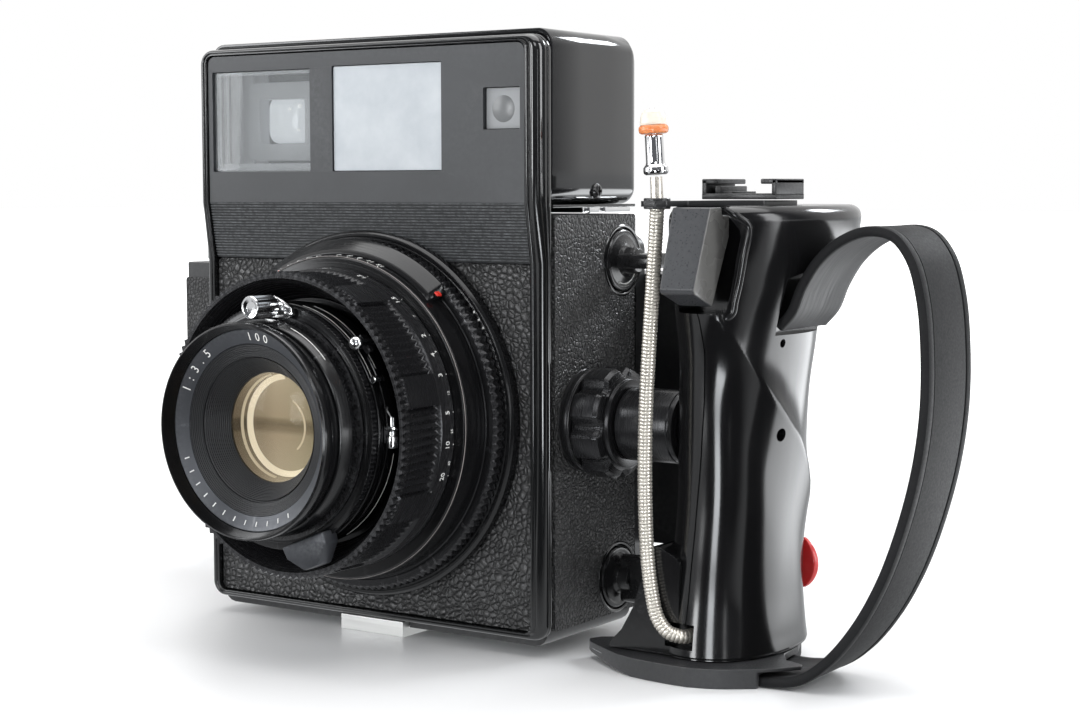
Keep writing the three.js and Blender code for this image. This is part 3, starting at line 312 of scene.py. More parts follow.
def fillet(pts, r, n=3, closed=True):
    """Rounds the corners of a 2-D outline."""
    out, N = [], len(pts)
    for i, p in enumerate(pts):
        if not closed and i in (0, N - 1): out.append(tuple(p)); continue
        a, b, c = Vector(pts[i - 1]), Vector(p), Vector(pts[(i + 1) % N])
        u, v = (a - b), (c - b); lu, lv = u.length, v.length
        if lu < 1e-9 or lv < 1e-9: continue
        ang = u.angle(v)
        if ang > rad(172): out.append(tuple(p)); continue
        rr = r[i] if isinstance(r, (list, tuple)) else r
        d = min(rr / max(math.tan(ang / 2), 1e-3), 0.46 * lu, 0.46 * lv)
        if d < 1e-4: out.append(tuple(p)); continue
        s, e = b + u.normalized() * d, b + v.normalized() * d
        for k in range(n + 1):
            t = k / n
            q = s * (1 - t) ** 2 + b * 2 * t * (1 - t) + e * t ** 2
            out.append((q.x, q.y))
    return out

def spin(profile, seg=96, axis="y", c=(0.0, AXZ), closed=True, mod=None, a0=0.0, a1=360.0, matf=None):
    """Turns a profile of (radius, height) around an axis; angle 0 points up, 90 to +x (axis y)."""
    full = abs(a1 - a0) >= 359.999
    cols = seg if full else seg + 1
    verts, faces, mi = [], [], []
    P = len(profile)
    for k in range(cols):
        a = rad(lerp(a0, a1, k / seg))
        for r, h in profile:
            rr, hh = (r, h) if mod is None else mod(math.degrees(a) % 360, r, h)
            if axis == "y": verts.append((c[0] + rr * sin(a), hh, c[1] + rr * cos(a)))
            elif axis == "x": verts.append((hh, c[0] + rr * sin(a), c[1] + rr * cos(a)))
            else: verts.append((c[0] + rr * cos(a), c[1] + rr * sin(a), hh))
    rows = P if closed else P - 1
    for k in range(seg):
        k2 = (k + 1) % cols
        for i in range(rows):
            j = (i + 1) % P
            f = [k * P + i, k * P + j, k2 * P + j, k2 * P + i]
            faces.append(f)
            if matf: mi.append(matf(profile[i], profile[j], lerp(a0, a1, (k + .5) / seg)))
    if not full:
        if closed:
            faces.append(list(range(P))); faces.append([seg * P + i for i in range(P)][::-1])
            if matf: mi += [0, 0]
    return verts, faces, (mi or None)

def turned(name, profile, mats, body, nodes=(), seg=96, axis="y", c=(0.0, AXZ), closed=True, mod=None, r=0.12, n=2, matf=None, a0=0.0, a1=360.0, angle=30):
    pr = fillet(profile, r, n, closed) if r else profile
    v, f, mi = spin(pr, seg, axis, c, closed, mod, a0, a1, matf)
    o = obj_from(name, v, f, mats, mi, angle)
    return place(o, body, nodes)

def rrect(x0, x1, z0, z1, r, n=6, extra=()):
    """Rounded rectangle, counter-clockwise from the right side; extra heights get a point on each vertical side."""
    s = []
    def arc(cx, cz, a):
        for i in range(n + 1):
            t = rad(a + 90 * i / n); s.append((cx + r * cos(t), cz + r * sin(t)))
    ex = sorted(z for z in extra if z0 + r < z < z1 - r)
    for z in ex: s.append((x1, z))
    arc(x1 - r, z1 - r, 0); arc(x0 + r, z1 - r, 90)
    for z in reversed(ex): s.append((x0, z))
    arc(x0 + r, z0 + r, 180); arc(x1 - r, z0 + r, 270)
    return s

def prism(outer, holes=(), axis="y", a=0.0, b=1.0, f=None):
    """Flat plate with holes: outline in the two other coordinates, pushed along an axis."""
    loops = [list(outer)] + [list(h) for h in holes]
    tri = geometry.tessellate_polygon([[Vector((p[0], p[1], 0)) for p in l] for l in loops])
    flat = [p for l in loops for p in l]; n = len(flat)
    def put(p, h):
        return (p[0], h, p[1]) if axis == "y" else (h, p[0], p[1]) if axis == "x" else (p[0], p[1], h)
    verts = [put(p, a) for p in flat] + [put(p, b) for p in flat]
    faces = [list(t) for t in tri] + [[n + i for i in reversed(t)] for t in tri]
    base = 0
    for l in loops:
        m = len(l)
        for i in range(m):
            j = (i + 1) % m
            faces.append([base + i, base + j, n + base + j, n + base + i])
        base += m
    return verts, faces

def plate(name, outer, holes, axis, a, b, mat, body, nodes=(), bev=0.25, seg=2, warp=None):
    v, f = prism(outer, holes, axis, a, b)
    if warp: v = [warp(p) for p in v]
    o = obj_from(name, v, f, mat)
    if bev: bevel(o, bev, seg); apply_mods(o)
    return place(o, body, nodes)

def merge(*parts):
    V, F = [], []
    for v, f in parts:
        b = len(V); V += list(v); F += [[b + i for i in q] for q in f]
    return V, F

def join_objs(name, objs):
    bm = bmesh.new(); mats = []
    for o in objs:
        me = o.data; off = {}
        for i, m in enumerate(me.materials):
            if m not in mats: mats.append(m)
            off[i] = mats.index(m)
        start = len(bm.faces)
        bm.from_mesh(me); bm.faces.ensure_lookup_table()
        for f in bm.faces[start:]: f.material_index = off.get(f.material_index, 0)
    me = bpy.data.meshes.new(name); bm.to_mesh(me); bm.free()
    for m in mats: me.materials.append(m)
    for o in objs: bpy.data.objects.remove(o)
    n = bpy.data.objects.new(name, me); bpy.context.scene.collection.objects.link(n)
    return n

def loops_mesh(loops, close_u=True, caps=True, close_v=False):
    n = len(loops[0]); V = [p for l in loops for p in l]; F = []
    L = len(loops)
    for k in range(L if close_v else L - 1):
        k2 = (k + 1) % L
        for i in range(n if close_u else n - 1):
            j = (i + 1) % n
            F.append([k * n + i, k * n + j, k2 * n + j, k2 * n + i])
    if caps and not close_v:
        F.append(list(range(n))[::-1]); F.append([(L - 1) * n + i for i in range(n)])
    return V, F

def boxv(x0, x1, y0, y1, z0, z1):
    v = [(x, y, z) for x in (x0, x1) for y in (y0, y1) for z in (z0, z1)]
    f = [[0, 1, 3, 2], [4, 6, 7, 5], [0, 4, 5, 1], [2, 3, 7, 6], [0, 2, 6, 4], [1, 5, 7, 3]]
    return v, f

def rbox(name, x0, x1, y0, y1, z0, z1, mat, body, nodes=(), slot=None, bev=0.4, seg=3):
    v, f = boxv(x0, x1, y0, y1, z0, z1)
    o = obj_from(name, v, f, mat); bevel(o, bev, seg); apply_mods(o, 40)
    return place(o, body, nodes)

def boolean(o, cutter, op="DIFFERENCE"):
    m = o.modifiers.new("cut", "BOOLEAN"); m.operation = op; m.solver = "EXACT"; m.object = cutter
    apply_mods(o, 35); bpy.data.objects.remove(cutter)
    return o

def cutter(v, f):
    return obj_from("cut", v, f, "black_flat")

def cylv(axis, r, a, b, u, v, seg=32):
    pr = [(0.0, a), (r, a), (r, b), (0.0, b)]
    V, F, _ = spin(pr, seg, axis, (u, v), False)
    return V, F

# node body lookup
BODY = {}
for bname, nodes in frame["record"]["behaviour"]["bodies"].items():
    for nd in nodes: BODY[nd] = bname
SLOT = {s["node"]: s["material_slot"] for s in frame["record"]["subparts"]}
def B(node): return BODY[node]

# ------------------------------------------------------------------ more kit
def from_cad(node, mat, bev=0.3, seg=2, name=None, angle=30, extra=()):
    """A softened copy of a CAD node: same shape, merged faces, small radii on its edges."""
    src = frame["nodes"][node]; me = src.data.copy(); me.materials.clear(); me.materials.append(MATS[mat])
    bm = bmesh.new(); bm.from_mesh(me)
    bmesh.ops.remove_doubles(bm, verts=bm.verts, dist=2e-6)
    bmesh.ops.dissolve_limit(bm, angle_limit=rad(1.0), verts=bm.verts, edges=bm.edges)
    for f in bm.faces: f.material_index = 0
    bm.to_mesh(me); bm.free()
    o = bpy.data.objects.new(name or node + "_piece", me); bpy.context.scene.collection.objects.link(o)
    finish_mesh(me, angle)
    if bev: bevel(o, bev, seg, 38); apply_mods(o, angle)
    return place(o, B(node), (node,) + tuple(extra))

def fine_rings(r0, h0, r1, h1, n, depth):
    """Small steps along a sloping line of a profile, as a lathe leaves them."""
    out = []; L = math.hypot(r1 - r0, h1 - h0); nr, nh = -(h1 - h0) / L, (r1 - r0) / L
    for i in range(n):
        for t, d in ((0.0, 0.0), (0.28, 0.0), (0.5, 1.0), (0.78, 1.0)):
            u = (i + t) / n
            out.append((lerp(r0, r1, u) + nr * depth * d, lerp(h0, h1, u) + nh * depth * d))
    out.append((r1, h1))
    return out

def tri(x):
    x = x % 1.0
    return 1 - abs(2 * x - 1)

def text_mesh(s, size, thick=0.03):
    cu = bpy.data.curves.new("txt", "FONT"); cu.body = s; cu.size = size; cu.align_x = "CENTER"; cu.align_y = "CENTER"; cu.extrude = thick; cu.resolution_u = 4
    o = bpy.data.objects.new("txt", cu); bpy.context.scene.collection.objects.link(o); bpy.context.view_layer.update()
    me = bpy.data.meshes.new_from_object(o.evaluated_get(bpy.context.evaluated_depsgraph_get()))
    v = [tuple(p.co) for p in me.vertices]; f = [list(p.vertices) for p in me.polygons]
    bpy.data.objects.remove(o); bpy.data.curves.remove(cu); bpy.data.meshes.remove(me)
    return v, f

def dial_text(items, r, y0, size, name, body, mat="white_fill", front=False, flip=False):
    """Numbers wrapped on a drum of radius r (or on the front face of a ring)."""
    V, F = [], []
    for s, a in items:
        v, f = text_mesh(s, size); b = len(V)
        for x, y, z in v:
            if front:
                rr = r + y; t = rad(a) + x / r
                V.append((rr * sin(t), y0 - z, AXZ + rr * cos(t)))
            else:
                t = rad(a) - x / r if not flip else rad(a) + x / r
                rr = r + z
                V.append((rr * sin(t), (y0 - y) if not flip else (y0 + y), AXZ + rr * cos(t)))
        F += [[b + i for i in q] for q in f]
    o = obj_from(name, V, F, mat, angle=60)
    return place(o, body)

def ticks(angles, r, y0, y1, w, name, body, mat="white_fill", h=0.05):
    V, F = [], []
    for a in angles:
        t = rad(a); c, s = cos(t), sin(t)
        b = len(V)
        for dw in (-w / 2, w / 2):
            for yy in (y0, y1):
                for rr in (r - 0.2, r + h):
                    V.append((rr * s + dw * c, yy, AXZ + rr * c - dw * s))
        v, f = boxv(0, 1, 0, 1, 0, 1)
        F += [[b + i for i in q] for q in f]
    return place(obj_from(name, V, F, mat), body)

def catmull(pts, n, closed=False):
    """Centripetal Catmull-Rom curve through points, n even steps of its parameter."""
    P = [Vector(p) for p in pts]; L = len(P); out = []
    for k in range(n + 1):
        u = k / n * (L - 1); i = min(int(u), L - 2); w = u - i
        p1, p2 = P[i], P[i + 1]
        p0 = P[i - 1] if i > 0 else p1 * 2 - p2
        p3 = P[i + 2] if i + 2 < L else p2 * 2 - p1
        d0, d1, d2 = [max((a - b).length, 1e-6) ** 0.5 for a, b in ((p1, p0), (p2, p1), (p3, p2))]
        m1 = (p2 - p1) / d1 - (p2 - p0) / (d0 + d1) + (p1 - p0) / d0
        m2 = (p3 - p2) / d2 - (p3 - p1) / (d1 + d2) + (p2 - p1) / d1
        m1 *= d1; m2 *= d1
        t2, t3 = w * w, w * w * w
        out.append(p1 * (2 * t3 - 3 * t2 + 1) + m1 * (t3 - 2 * t2 + w) + p2 * (-2 * t3 + 3 * t2) + m2 * (t3 - t2))
    return out

# ------------------------------------------------------------------ camera, floor and light
cam = bpy.data.cameras.new("view"); camo = bpy.data.objects.new("view", cam); bpy.context.scene.collection.objects.link(camo)
_a, _e, _r = rad(33.7865), rad(4.8785), rad(-0.1075)
_back = Vector((sin(_a) * cos(_e), -cos(_a) * cos(_e), sin(_e))); _fwd = -_back
_right = _fwd.cross(Vector((0, 0, 1))).normalized(); _up = _right.cross(_fwd)
_R = _right * cos(_r) + _up * sin(_r); _U = -_right * sin(_r) + _up * cos(_r)
_m = Matrix.Identity(4)
for _i in range(3):
    _m[_i][0], _m[_i][1], _m[_i][2] = _R[_i], _U[_i], _back[_i]
_m[0][3], _m[1][3], _m[2][3] = 0.347876, -0.456146, 0.123741
camo.matrix_world = _m
cam.sensor_width = 36.0; cam.lens = 67.286; cam.clip_start = 0.01; cam.clip_end = 100
bpy.context.scene.camera = camo

def build_stage():
    # seamless table: a flat plane
    v = [(-9, -9, 0), (9, -9, 0), (9, 9, 0), (-9, 9, 0)]
    floor = obj_from("floor", v, [[0, 1, 2, 3]], "floor_white", mm=False)
    floor.visible_glossy = False
    # bright table seen only in polished faces, fading out towards the front right
    g = NT("table_glow"); c = g.node("ShaderNodeTexCoord"); sp = g.node("ShaderNodeSeparateXYZ"); g.l.new(c.outputs["Object"], sp.inputs[0])
    fx = g.mapr(sp.outputs["X"], 1.0, 0.0, -0.07, -0.005); fy = g.mapr(sp.outputs["Y"], 0.0, 1.0, -0.125, -0.05)
    fac = g.mathn("MAXIMUM", fx, fy)
    em = g.node("ShaderNodeEmission"); hot = g.mathn("MULTIPLY", g.mapr(sp.outputs["X"], 0.0, 1.0, 0.12, 0.2), g.mapr(sp.outputs["Y"], 0.0, 4.2, -0.02, 0.15)); hot = g.mathn("MULTIPLY", hot, g.mapr(sp.outputs["Y"], 1.0, 0.0, 0.7, 1.1))
    g.l.new(g.mathn("ADD", g.mathn("MULTIPLY", fac, 0.8), hot), em.inputs["Strength"]); em.inputs["Color"].default_value = (0.96, 0.98, 1.0, 1)
    g.l.new(em.outputs[0], g.out.inputs["Surface"])
    glow = obj_from("table_reflection", [(x, y, -0.0004) for x, y, z in v], [[0, 1, 2, 3]], "table_glow", mm=False)
    glow.visible_camera = False; glow.visible_diffuse = False; glow.visible_shadow = False; glow.visible_transmission = False; glow.visible_volume_scatter = False
    # narrow bright card in front of the handle, seen only in polished faces
    g = NT("card_glow"); em = g.node("ShaderNodeEmission"); c = g.node("ShaderNodeTexCoord"); sp = g.node("ShaderNodeSeparateXYZ"); g.l.new(c.outputs["Object"], sp.inputs[0])
    g.l.new(g.mapr(sp.outputs["Z"], 14.0, 0.0, 0.02, 0.10), em.inputs["Strength"]); em.inputs["Color"].default_value = (0.93, 0.965, 1.0, 1); g.l.new(em.outputs[0], g.out.inputs["Surface"])
    k = [(0.160, -0.265), (0.224, -0.242)]
    card = obj_from("bright_card", [(k[0][0], k[0][1], 0.0), (k[1][0], k[1][1], 0.0), (k[1][0], k[1][1], 0.11), (k[0][0], k[0][1], 0.11)], [[0, 1, 2, 3]], "card_glow", mm=False)
    card.visible_camera = False; card.visible_diffuse = False; card.visible_shadow = False; card.visible_transmission = False; card.visible_volume_scatter = False
    wd = bpy.data.worlds.new("tent"); bpy.context.scene.world = wd; wd.use_nodes = True
    t = wd.node_tree; n = t.nodes; bg = n["Background"]
    tc = n.new("ShaderNodeTexCoord"); dot = n.new("ShaderNodeVectorMath"); dot.operation = "DOT_PRODUCT"
    dot.inputs[1].default_value = (-0.556, 0.831, 0.25)
    t.links.new(tc.outputs["Generated"], dot.inputs[0])
    rp = n.new("ShaderNodeValToRGB"); t.links.new(dot.outputs["Value"], rp.inputs["Fac"])
    e = rp.color_ramp.elements; e[0].position = 0.0; e[0].color = (0.13, 0.135, 0.145, 1); e[1].position = 0.42; e[1].color = (1.0, 1.0, 1.0, 1)
    t.links.new(rp.outputs["Color"], bg.inputs["Color"]); bg.inputs["Strength"].default_value = 1.0
    def area(name, loc, target, sx, sy, power, color=(1, 1, 1), spread=180):
        l = bpy.data.lights.new(name, "AREA"); l.shape = "RECTANGLE"; l.size = sx; l.size_y = sy; l.energy = power; l.color = color; l.spread = rad(spread)
        o = bpy.data.objects.new(name, l); bpy.context.scene.collection.objects.link(o)
        o.location = loc; d = Vector(target) - Vector(loc); o.rotation_euler = d.to_track_quat("-Z", "Y").to_euler()
        return o
    area("top_box", (0.05, 0.05, 1.25), (0.03, 0.0, 0.05), 1.5, 1.2, 17)
    area("left_box", (-1.0, -0.75, 0.55), (0.0, 0.0, 0.08), 0.5, 0.9, 9, (0.97, 0.985, 1.0))
    area("strip_left", (-0.30, -1.2, 0.05), (0.10, 0.0, 0.03), 0.24, 0.8, 9.0, (0.97, 0.985, 1.0))
    area("back_box", (0.485, 1.19, 0.84), (0.035, -0.03, 0.088), 0.34, 0.3, 8.5, (0.93, 0.965, 1.0))
    area("front_fill", (0.75, -1.05, 0.85), (0.05, 0.0, 0.08), 0.5, 0.4, 3.2, (0.97, 0.985, 1.0))
    area("strip_right", (1.16, -0.78, -0.02), (0.10, 0.0, 0.03), 0.08, 0.75, 0.9, (0.97, 0.985, 1.0))
    area("right_box", (1.15, 0.05, 0.5), (0.05, 0.0, 0.08), 0.35, 0.9, 7, (0.97, 0.985, 1.0))
build_stage()
bpy.context.scene.view_settings.view_transform = "Standard"
bpy.context.scene.view_settings.look = "None"
bpy.context.scene.view_settings.exposure = 0.0

# ------------------------------------------------------------------ front frame and finder front
STEP_Z, CREASE_Z = 103.9, 119.8
def crease(z): return 2.4 * (1 - max(0.0, min(1.0, (z - STEP_Z) / (CREASE_Z - STEP_Z))))
def build_front():
    prof = [(1.0, 0, 5.0), (1.0, 0, 0.6), (1.0, 0, -0.05), (0.985, 0, -0.42), (0.93, 0, -0.58), (0.84, 0, -0.58), (0.78, 0, -0.44), (0.75, 0, -0.12), (0.70, 0, -0.12),
            (0.67, 0, -0.34), (0.60, 0, -0.52), (0.48, 0, -0.55), (0.35, 0, -0.36), (0.22, 0, 0.05), (0.12, 0, 0.62), (0.05, 0, 1.35), (0.01, 0, 2.1), (0.0, 0, 2.65),
            (0.0, 0.05, 2.85), (0.0, 0.42, 2.95), (0.0, 0.46, 3.35), (0.0, 0.06, 3.5), (0.0, 0.0, 3.65), (0.0, 0.0, 4.75), (0.0, 0.12, 5.0)]
    ex = (STEP_Z, CREASE_Z, 108, 112, 116)
    loops = []
    for t, ins, y in prof:
        x0, x1 = lerp(-59, -55.9, t) + ins, lerp(59, 54.3, t) - ins
        z0, z1 = lerp(4.6, 6.5, t) + ins, lerp(163.3, 161.4, t) - ins
        r = lerp(4.4, 2.3, t) - ins * 0.5
        out = []
        for x, z in rrect(x0, x1, z0, z1, r, 8, ex):
            out.append((x, y + crease(z) * (5.0 - y) / 5.6, z))
        loops.append(out)
    v, f = loops_mesh(loops, True, False, True)
    place(obj_from("front_frame_moulding", v, f, "enamel_gloss", angle=50), "body", "front_frame")

    # faceplate: flat upper part with three windows
    W_ = {"vf": (-54.0, -17.8, 128.4, 156.7), "il": (-9.9, 27.4, 128.3, 157.1), "rf": (41.0, 52.6, 138.9, 149.8)}
    holes = [rrect(a, b, c, d, 0.35, 2)[::-1] for a, b, c, d in W_.values()]
    plate("faceplate_upper", [(54.0, 119.8), (54.0, 159.0)] + [(51.7 + 2.3 * cos(rad(q)), 158.8 + 2.3 * sin(rad(q))) for q in range(0, 91, 15)] +
          [(-53.3 + 2.3 * cos(rad(q)), 158.8 + 2.3 * sin(rad(q))) for q in range(90, 181, 15)] + [(-55.6, 119.8)],
          holes, "y", 0.0, 2.9, "faceplate_grey", "body", "finder_faceplate", bev=0.12, seg=2)
    # grooved band that slopes back to the leatherette
    n = 20; pr = []
    for i in range(n):
        for t, d in ((0.0, 0.0), (0.50, 0.0), (0.58, 0.42), (0.92, 0.42)):
            z = lerp(119.72, 104.1, (i + t) / n)
            pr.append((2.6 * (119.8 - z) / 15.9 + d + 0.04, z))
    pr += [(2.62, 104.0), (5.0, 104.0), (3.6, 119.72)]
    v, f = loops_mesh([[(x, y, z) for y, z in pr] for x in (-55.55, 53.95)])
    place(obj_from("faceplate_grooved_band", v, f, "band_grey", angle=20), "body", "finder_faceplate")

    # front leatherette
    o = rrect(-55.6, 54.0, 6.8, 103.75, 1.6, 4)
    hole = [(46 * cos(rad(a)), AXZ + 46 * sin(rad(a))) for a in range(0, -360, -5)]
    plate("front_leather_panel", o, [hole], "y", 3.3, 4.9, "leatherette", "body", "front_leatherette", bev=0.35, seg=2)

    # frosted bright-line window, with a faint painted glow for light passing through it
    plate("bright_line_window", rrect(-9.75, 27.25, 128.45, 156.95, 0.4, 2), [], "y", 0.55, 2.4, "frosted_white", "body", "illumination_window", bev=0.25)
    # rangefinder window: pale pane in a recess, darker round port behind
    plate("rangefinder_pane", rrect(41.15, 52.45, 139.05, 149.65, 0.3, 2), [], "y", 1.3, 2.4, "window_grey", "body", "rangefinder_window", bev=0.15)
    v, f, _ = spin([(0.0, 1.22), (3.35, 1.22), (3.5, 1.3), (3.5, 1.5), (0.0, 1.5)], 48, "y", (46.6, 144.2), False)
    place(obj_from("rangefinder_port", v, f, "window_dark"), "body", "rangefinder_window")

    # finder tunnel seen through the clear pane
    # the tunnel's walls glow as painted light
    a, b, c, d = W_["vf"]
    D = 20.0
    parts = [obj_from("t", [(a, 3, c), (b, 3, c), (b, 3, d), (a, 3, d), (a, D, c), (b, D, c), (b, D, d), (a, D, d)],
                      [[0, 1, 5, 4], [1, 2, 6, 5], [2, 3, 7, 6], [3, 0, 4, 7], [4, 5, 6, 7]], "tunnel_grey")]
    for x, w, y in ((-53.2, 1.0, 5.0), (-51.0, 1.6, 8.0), (-49.4, 1.2, 12.0), (-47.6, 1.2, 15.5)):
        parts.append(obj_from("t", *boxv(a, x, y, y + w, c, d), "tunnel_light"))
    parts.append(obj_from("t", *boxv(a, b, 3.0, 9.0, c, c + 2.3), "tunnel_light"))
    def ring_plate(x0, x1, z0, z1, w, y0, y1, mat, r):
        outer = rrect(x0, x1, z0, z1, r, 6); inner = rrect(x0 + w, x1 - w, z0 + w, z1 - w, max(r - w * 0.5, 0.6), 6)[::-1]
        q = obj_from("t", *prism(outer, [inner], "y", y0, y1), mat); bevel(q, 0.5, 3); apply_mods(q); return q
    parts.append(ring_plate(-51.0, -24.6, 131.6, 154.0, 4.8, 11.5, 15.5, "tunnel_light", 3.2))
    v, f = [], []
    for k in range(9):
        t = k / 8; s = 1 - t * t * 0.35
        v += [(-38.8 + (x + 38.8) * s, 16.5 - 3.0 * t, 143.3 + (z - 143.3) * s) for x, z in rrect(-46.4, -31.2, 136.6, 150.2, 3.2, 6)]
    m = len(v) // 9
    for k in range(8):
        for i in range(m):
            j = (i + 1) % m; f.append([k * m + i, k * m + j, (k + 1) * m + j, (k + 1) * m + i])
    f.append([8 * m + i for i in range(m)])
    parts.append(obj_from("t", v, f, "finder_lens"))
    for x, z, r in ((-36.3, 146.4, 0.55), (-32.6, 147.2, 0.7), (-33.2, 140.4, 0.5), (-49.0, 132.0, 0.45), (-47.4, 132.9, 0.6), (-46.2, 133.8, 0.4)):
        vv, ff, _ = spin([(0.0, -r), (r * .7, -r * .7), (r, 0.0), (r * .7, r * .7), (0.0, r)], 12, "z", (x, 13.2), False)
        parts.append(obj_from("t", [(p[0], p[1], p[2] + z) for p in vv], ff, "spark"))
    o = join_objs("finder_tunnel", parts); place(o, "body", "finder_optics")
    plate("finder_pane", rrect(a + 0.15, b - 0.15, c + 0.15, d - 0.15, 0.3, 2), [], "y", 0.9, 1.5, "pane_haze", "body", "viewfinder_window", bev=0.1)
    q = obj_from("t", *prism(rrect(a + 0.2, b - 0.2, c + 0.2, d - 0.2, 0.3, 2), [rrect(a + 1.2, b - 1.0, c + 1.0, d - 1.1, 0.3, 2)[::-1]], "y", 1.6, 2.4), "tunnel_light")
    place(q, "body", "viewfinder_window"); q.name = "finder_pane_bezel"

# pane with a faint milky reflection, finder lens and small glints
# the finder lens shape glows by emission: painted light, as if lit through the tunnel
s = NT("finder_lens"); s.link(s.mix(s.noise(60, 3), (0.47, 0.48, 0.49), (0.60, 0.61, 0.62)), "Base Color"); s.set(Roughness=0.12, Emission_Strength=1.0); s.link(s.mix(s.noise(70, 3), (0.36, 0.38, 0.40), (0.56, 0.58, 0.61)), "Emission Color")
s = NT("spark"); s.link(s.mix(s.noise(600, 2), (0.8, 0.8, 0.8), (0.95, 0.95, 0.95)), "Base Color"); s.set(Roughness=0.2, Emission_Strength=0.5, Emission_Color=(1, 1, 1, 1))
def haze(name, tint, haze_col, amount, gloss=0.02):
    s = NT(name)
    s.link(s.mix(s.mapr(s.noise(25, 3), 0, 1, 0.3, 0.7), tuple(x * 0.92 for x in haze_col), haze_col), "Base Color"); s.set(Roughness=gloss)
    tr = s.node("ShaderNodeBsdfTransparent"); tr.inputs["Color"].default_value = col(tint)
    mx = s.node("ShaderNodeMixShader"); mx.inputs[0].default_value = amount
    s.l.new(tr.outputs[0], mx.inputs[1]); s.l.new(s.b.outputs[0], mx.inputs[2]); s.l.new(mx.outputs[0], s.out.inputs["Surface"])
    return s.m
haze("pane_haze", (0.96, 0.97, 0.97), (0.30, 0.31, 0.315), 0.25)
haze("lens_surface", (0.98, 0.95, 0.88), (0.20, 0.16, 0.10), 0.10, 0.01)
build_front()

# ------------------------------------------------------------------ finder housing, casting, plates
def build_housing():
    # finder housing: outer skin turned in at the front, hollow inside, chamfered at the rear top
    def arch(ins, y, r, top=0.0):
        return [(x, y, z) for x, z in rrect(-59 + ins, 59 - ins, 119.2 + ins * 0.2, 165 - ins - top, r, 10, (130,))]
    loops = [arch(1.8, 46.2, 3.0), arch(1.8, 5.8, 3.0), arch(0.9, 5.3, 3.8), arch(0.45, 5.3, 4.2), arch(0.12, 5.5, 4.45), arch(0.0, 5.95, 4.6),
             arch(0.0, 20, 4.6), arch(0.0, 34, 4.6), arch(0.0, 44.8, 4.6), arch(0.12, 46.2, 4.6, 0.9), arch(0.55, 47.3, 4.6, 2.1), arch(1.2, 48.0, 4.6, 3.2), arch(2.2, 48.4, 4.4, 4.6)]
    v, f = loops_mesh(loops, True, True)
    place(obj_from("finder_housing", v, f, "enamel_gloss", angle=40), "body", "top_cover")
    turned("eyepiece_ring", [(4.2, 46.6), (6.3, 46.6), (6.3, 50.2), (5.8, 50.6), (4.9, 50.6), (4.3, 49.6)], "enamel_satin", "body", "eyepiece", 48, "y", (-36, 142))
    v, f, _ = spin([(0.0, 47.4), (2.5, 47.55), (4.25, 48.2), (4.25, 47.0), (0.0, 46.8)], 40, "y", (-36, 142), False)
    place(obj_from("eyepiece_lens", v, f, "window_dark"), "body", "eyepiece")
    # screw with a crossed slot
    q = obj_from("cover_screw_head", *spin(fillet([(0.0, 58.6), (2.05, 58.6), (2.05, 59.2), (1.75, 59.75), (1.1, 59.98), (0.0, 60.05)], 0.1, 2, False), 40, "x", (26.9, 122.8), False)[:2], "knob_black")
    for w in ((0.28, 1.35), (1.35, 0.28)):
        boolean(q, cutter(*boxv(59.35, 61, 26.9 - w[0], 26.9 + w[0], 122.8 - w[1], 122.8 + w[1])))
    place(q, "body", "cover_screw")
    # bright plate with a folded lug at each end
    rbox("lug_plate_strip", -58.6, 58.6, 20.6, 44.4, 117.1, 118.7, "chrome", "body", "lug_plate", SLOT["lug_plate"], 0.25, 2)
    for s_ in (-1, 1):
        a, b = sorted((s_ * 58.2, s_ * 59.5))
        for k, (y0, y1, z0, z1) in enumerate(((30.5, 43.6, 116.95, 118.5), (22.6, 27.5, 116.95, 118.5), (27.2, 30.6, 116.95, 117.55))):
            rbox("lug_%s_%d" % ("rl"[s_ < 0], k), a, b, y0, y1, z0, z1, "chrome", "body", "lug_plate", SLOT["lug_plate"], 0.2, 2)
        rbox("joint_strip_%s" % "rl"[s_ < 0], *sorted((s_ * 57.0, s_ * 58.7)), 6.2, 47.6, 118.5, 119.3, "enamel_gloss", "body", "lug_plate", SLOT["lug_plate"], 0.2, 2)
    from_cad("body_shell", "enamel_satin", 0.45, 2)
    for s_, nm in ((1, "right"), (-1, "left")):
        holes = []
        for (y, z, r) in ((40.6, 103.9, 9.0), (38.2, 16.5, 9.0)) + (((22.0, 61.6, 14.0),) if s_ > 0 else ()):
            holes.append([(y + r * cos(rad(a)), z + r * sin(rad(a))) for a in range(0, -360, -8)])
        o = rrect(6.7, 47.3, 6.6, 116.6, 1.2, 4)
        a, b = sorted((s_ * 57.4, s_ * 58.95))
        plate("side_leather_" + nm, o, holes, "x", a, b, "leatherette_fine", "body", "side_leatherette_" + nm, bev=0.3, seg=2)
    from_cad("tripod_plate", "aluminium", 0.3, 2)
    from_cad("rear_standard", "enamel_satin", 0.6, 3)
    for n in ("slide_rod_upper_right", "slide_rod_lower_right", "slide_rod_upper_left", "slide_rod_lower_left"):
        b0, b1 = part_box(n)
        x = (b0.x + b1.x) * 500; z = (b0.z + b1.z) * 500
        turned(n + "_piece", [(0.0, 7.5), (2.6, 7.5), (3.0, 8.0), (3.0, 47.5), (0.0, 47.5)], "steel", B(n), n, 32, "y", (x, z), closed=False, r=0.0)

    # pleated bellows between casting and rear standard
    loops, N = [], 18
    def ring(w, h, y, r): return [(x, y, z) for x, z in rrect(-w, w, AXZ - 1.7 - h, AXZ - 1.7 + h, r, 4)]
    for side in (0, 1):
        seq = range(N + 1) if side == 0 else range(N, -1, -1)
        for i in seq:
            y = lerp(12.3, 47.5, i / N); d = 2.0 if i % 2 else 0.0
            loops.append(ring(44.6 - d - side * 2.2, 46.6 - d - side * 2.2, y, 3.0))
    v, f = loops_mesh(loops, True, False, True)
    o = obj_from("bellows_folds", v, f, "cloth_black", angle=20)
    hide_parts("bellows")
    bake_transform(o)
build_housing()

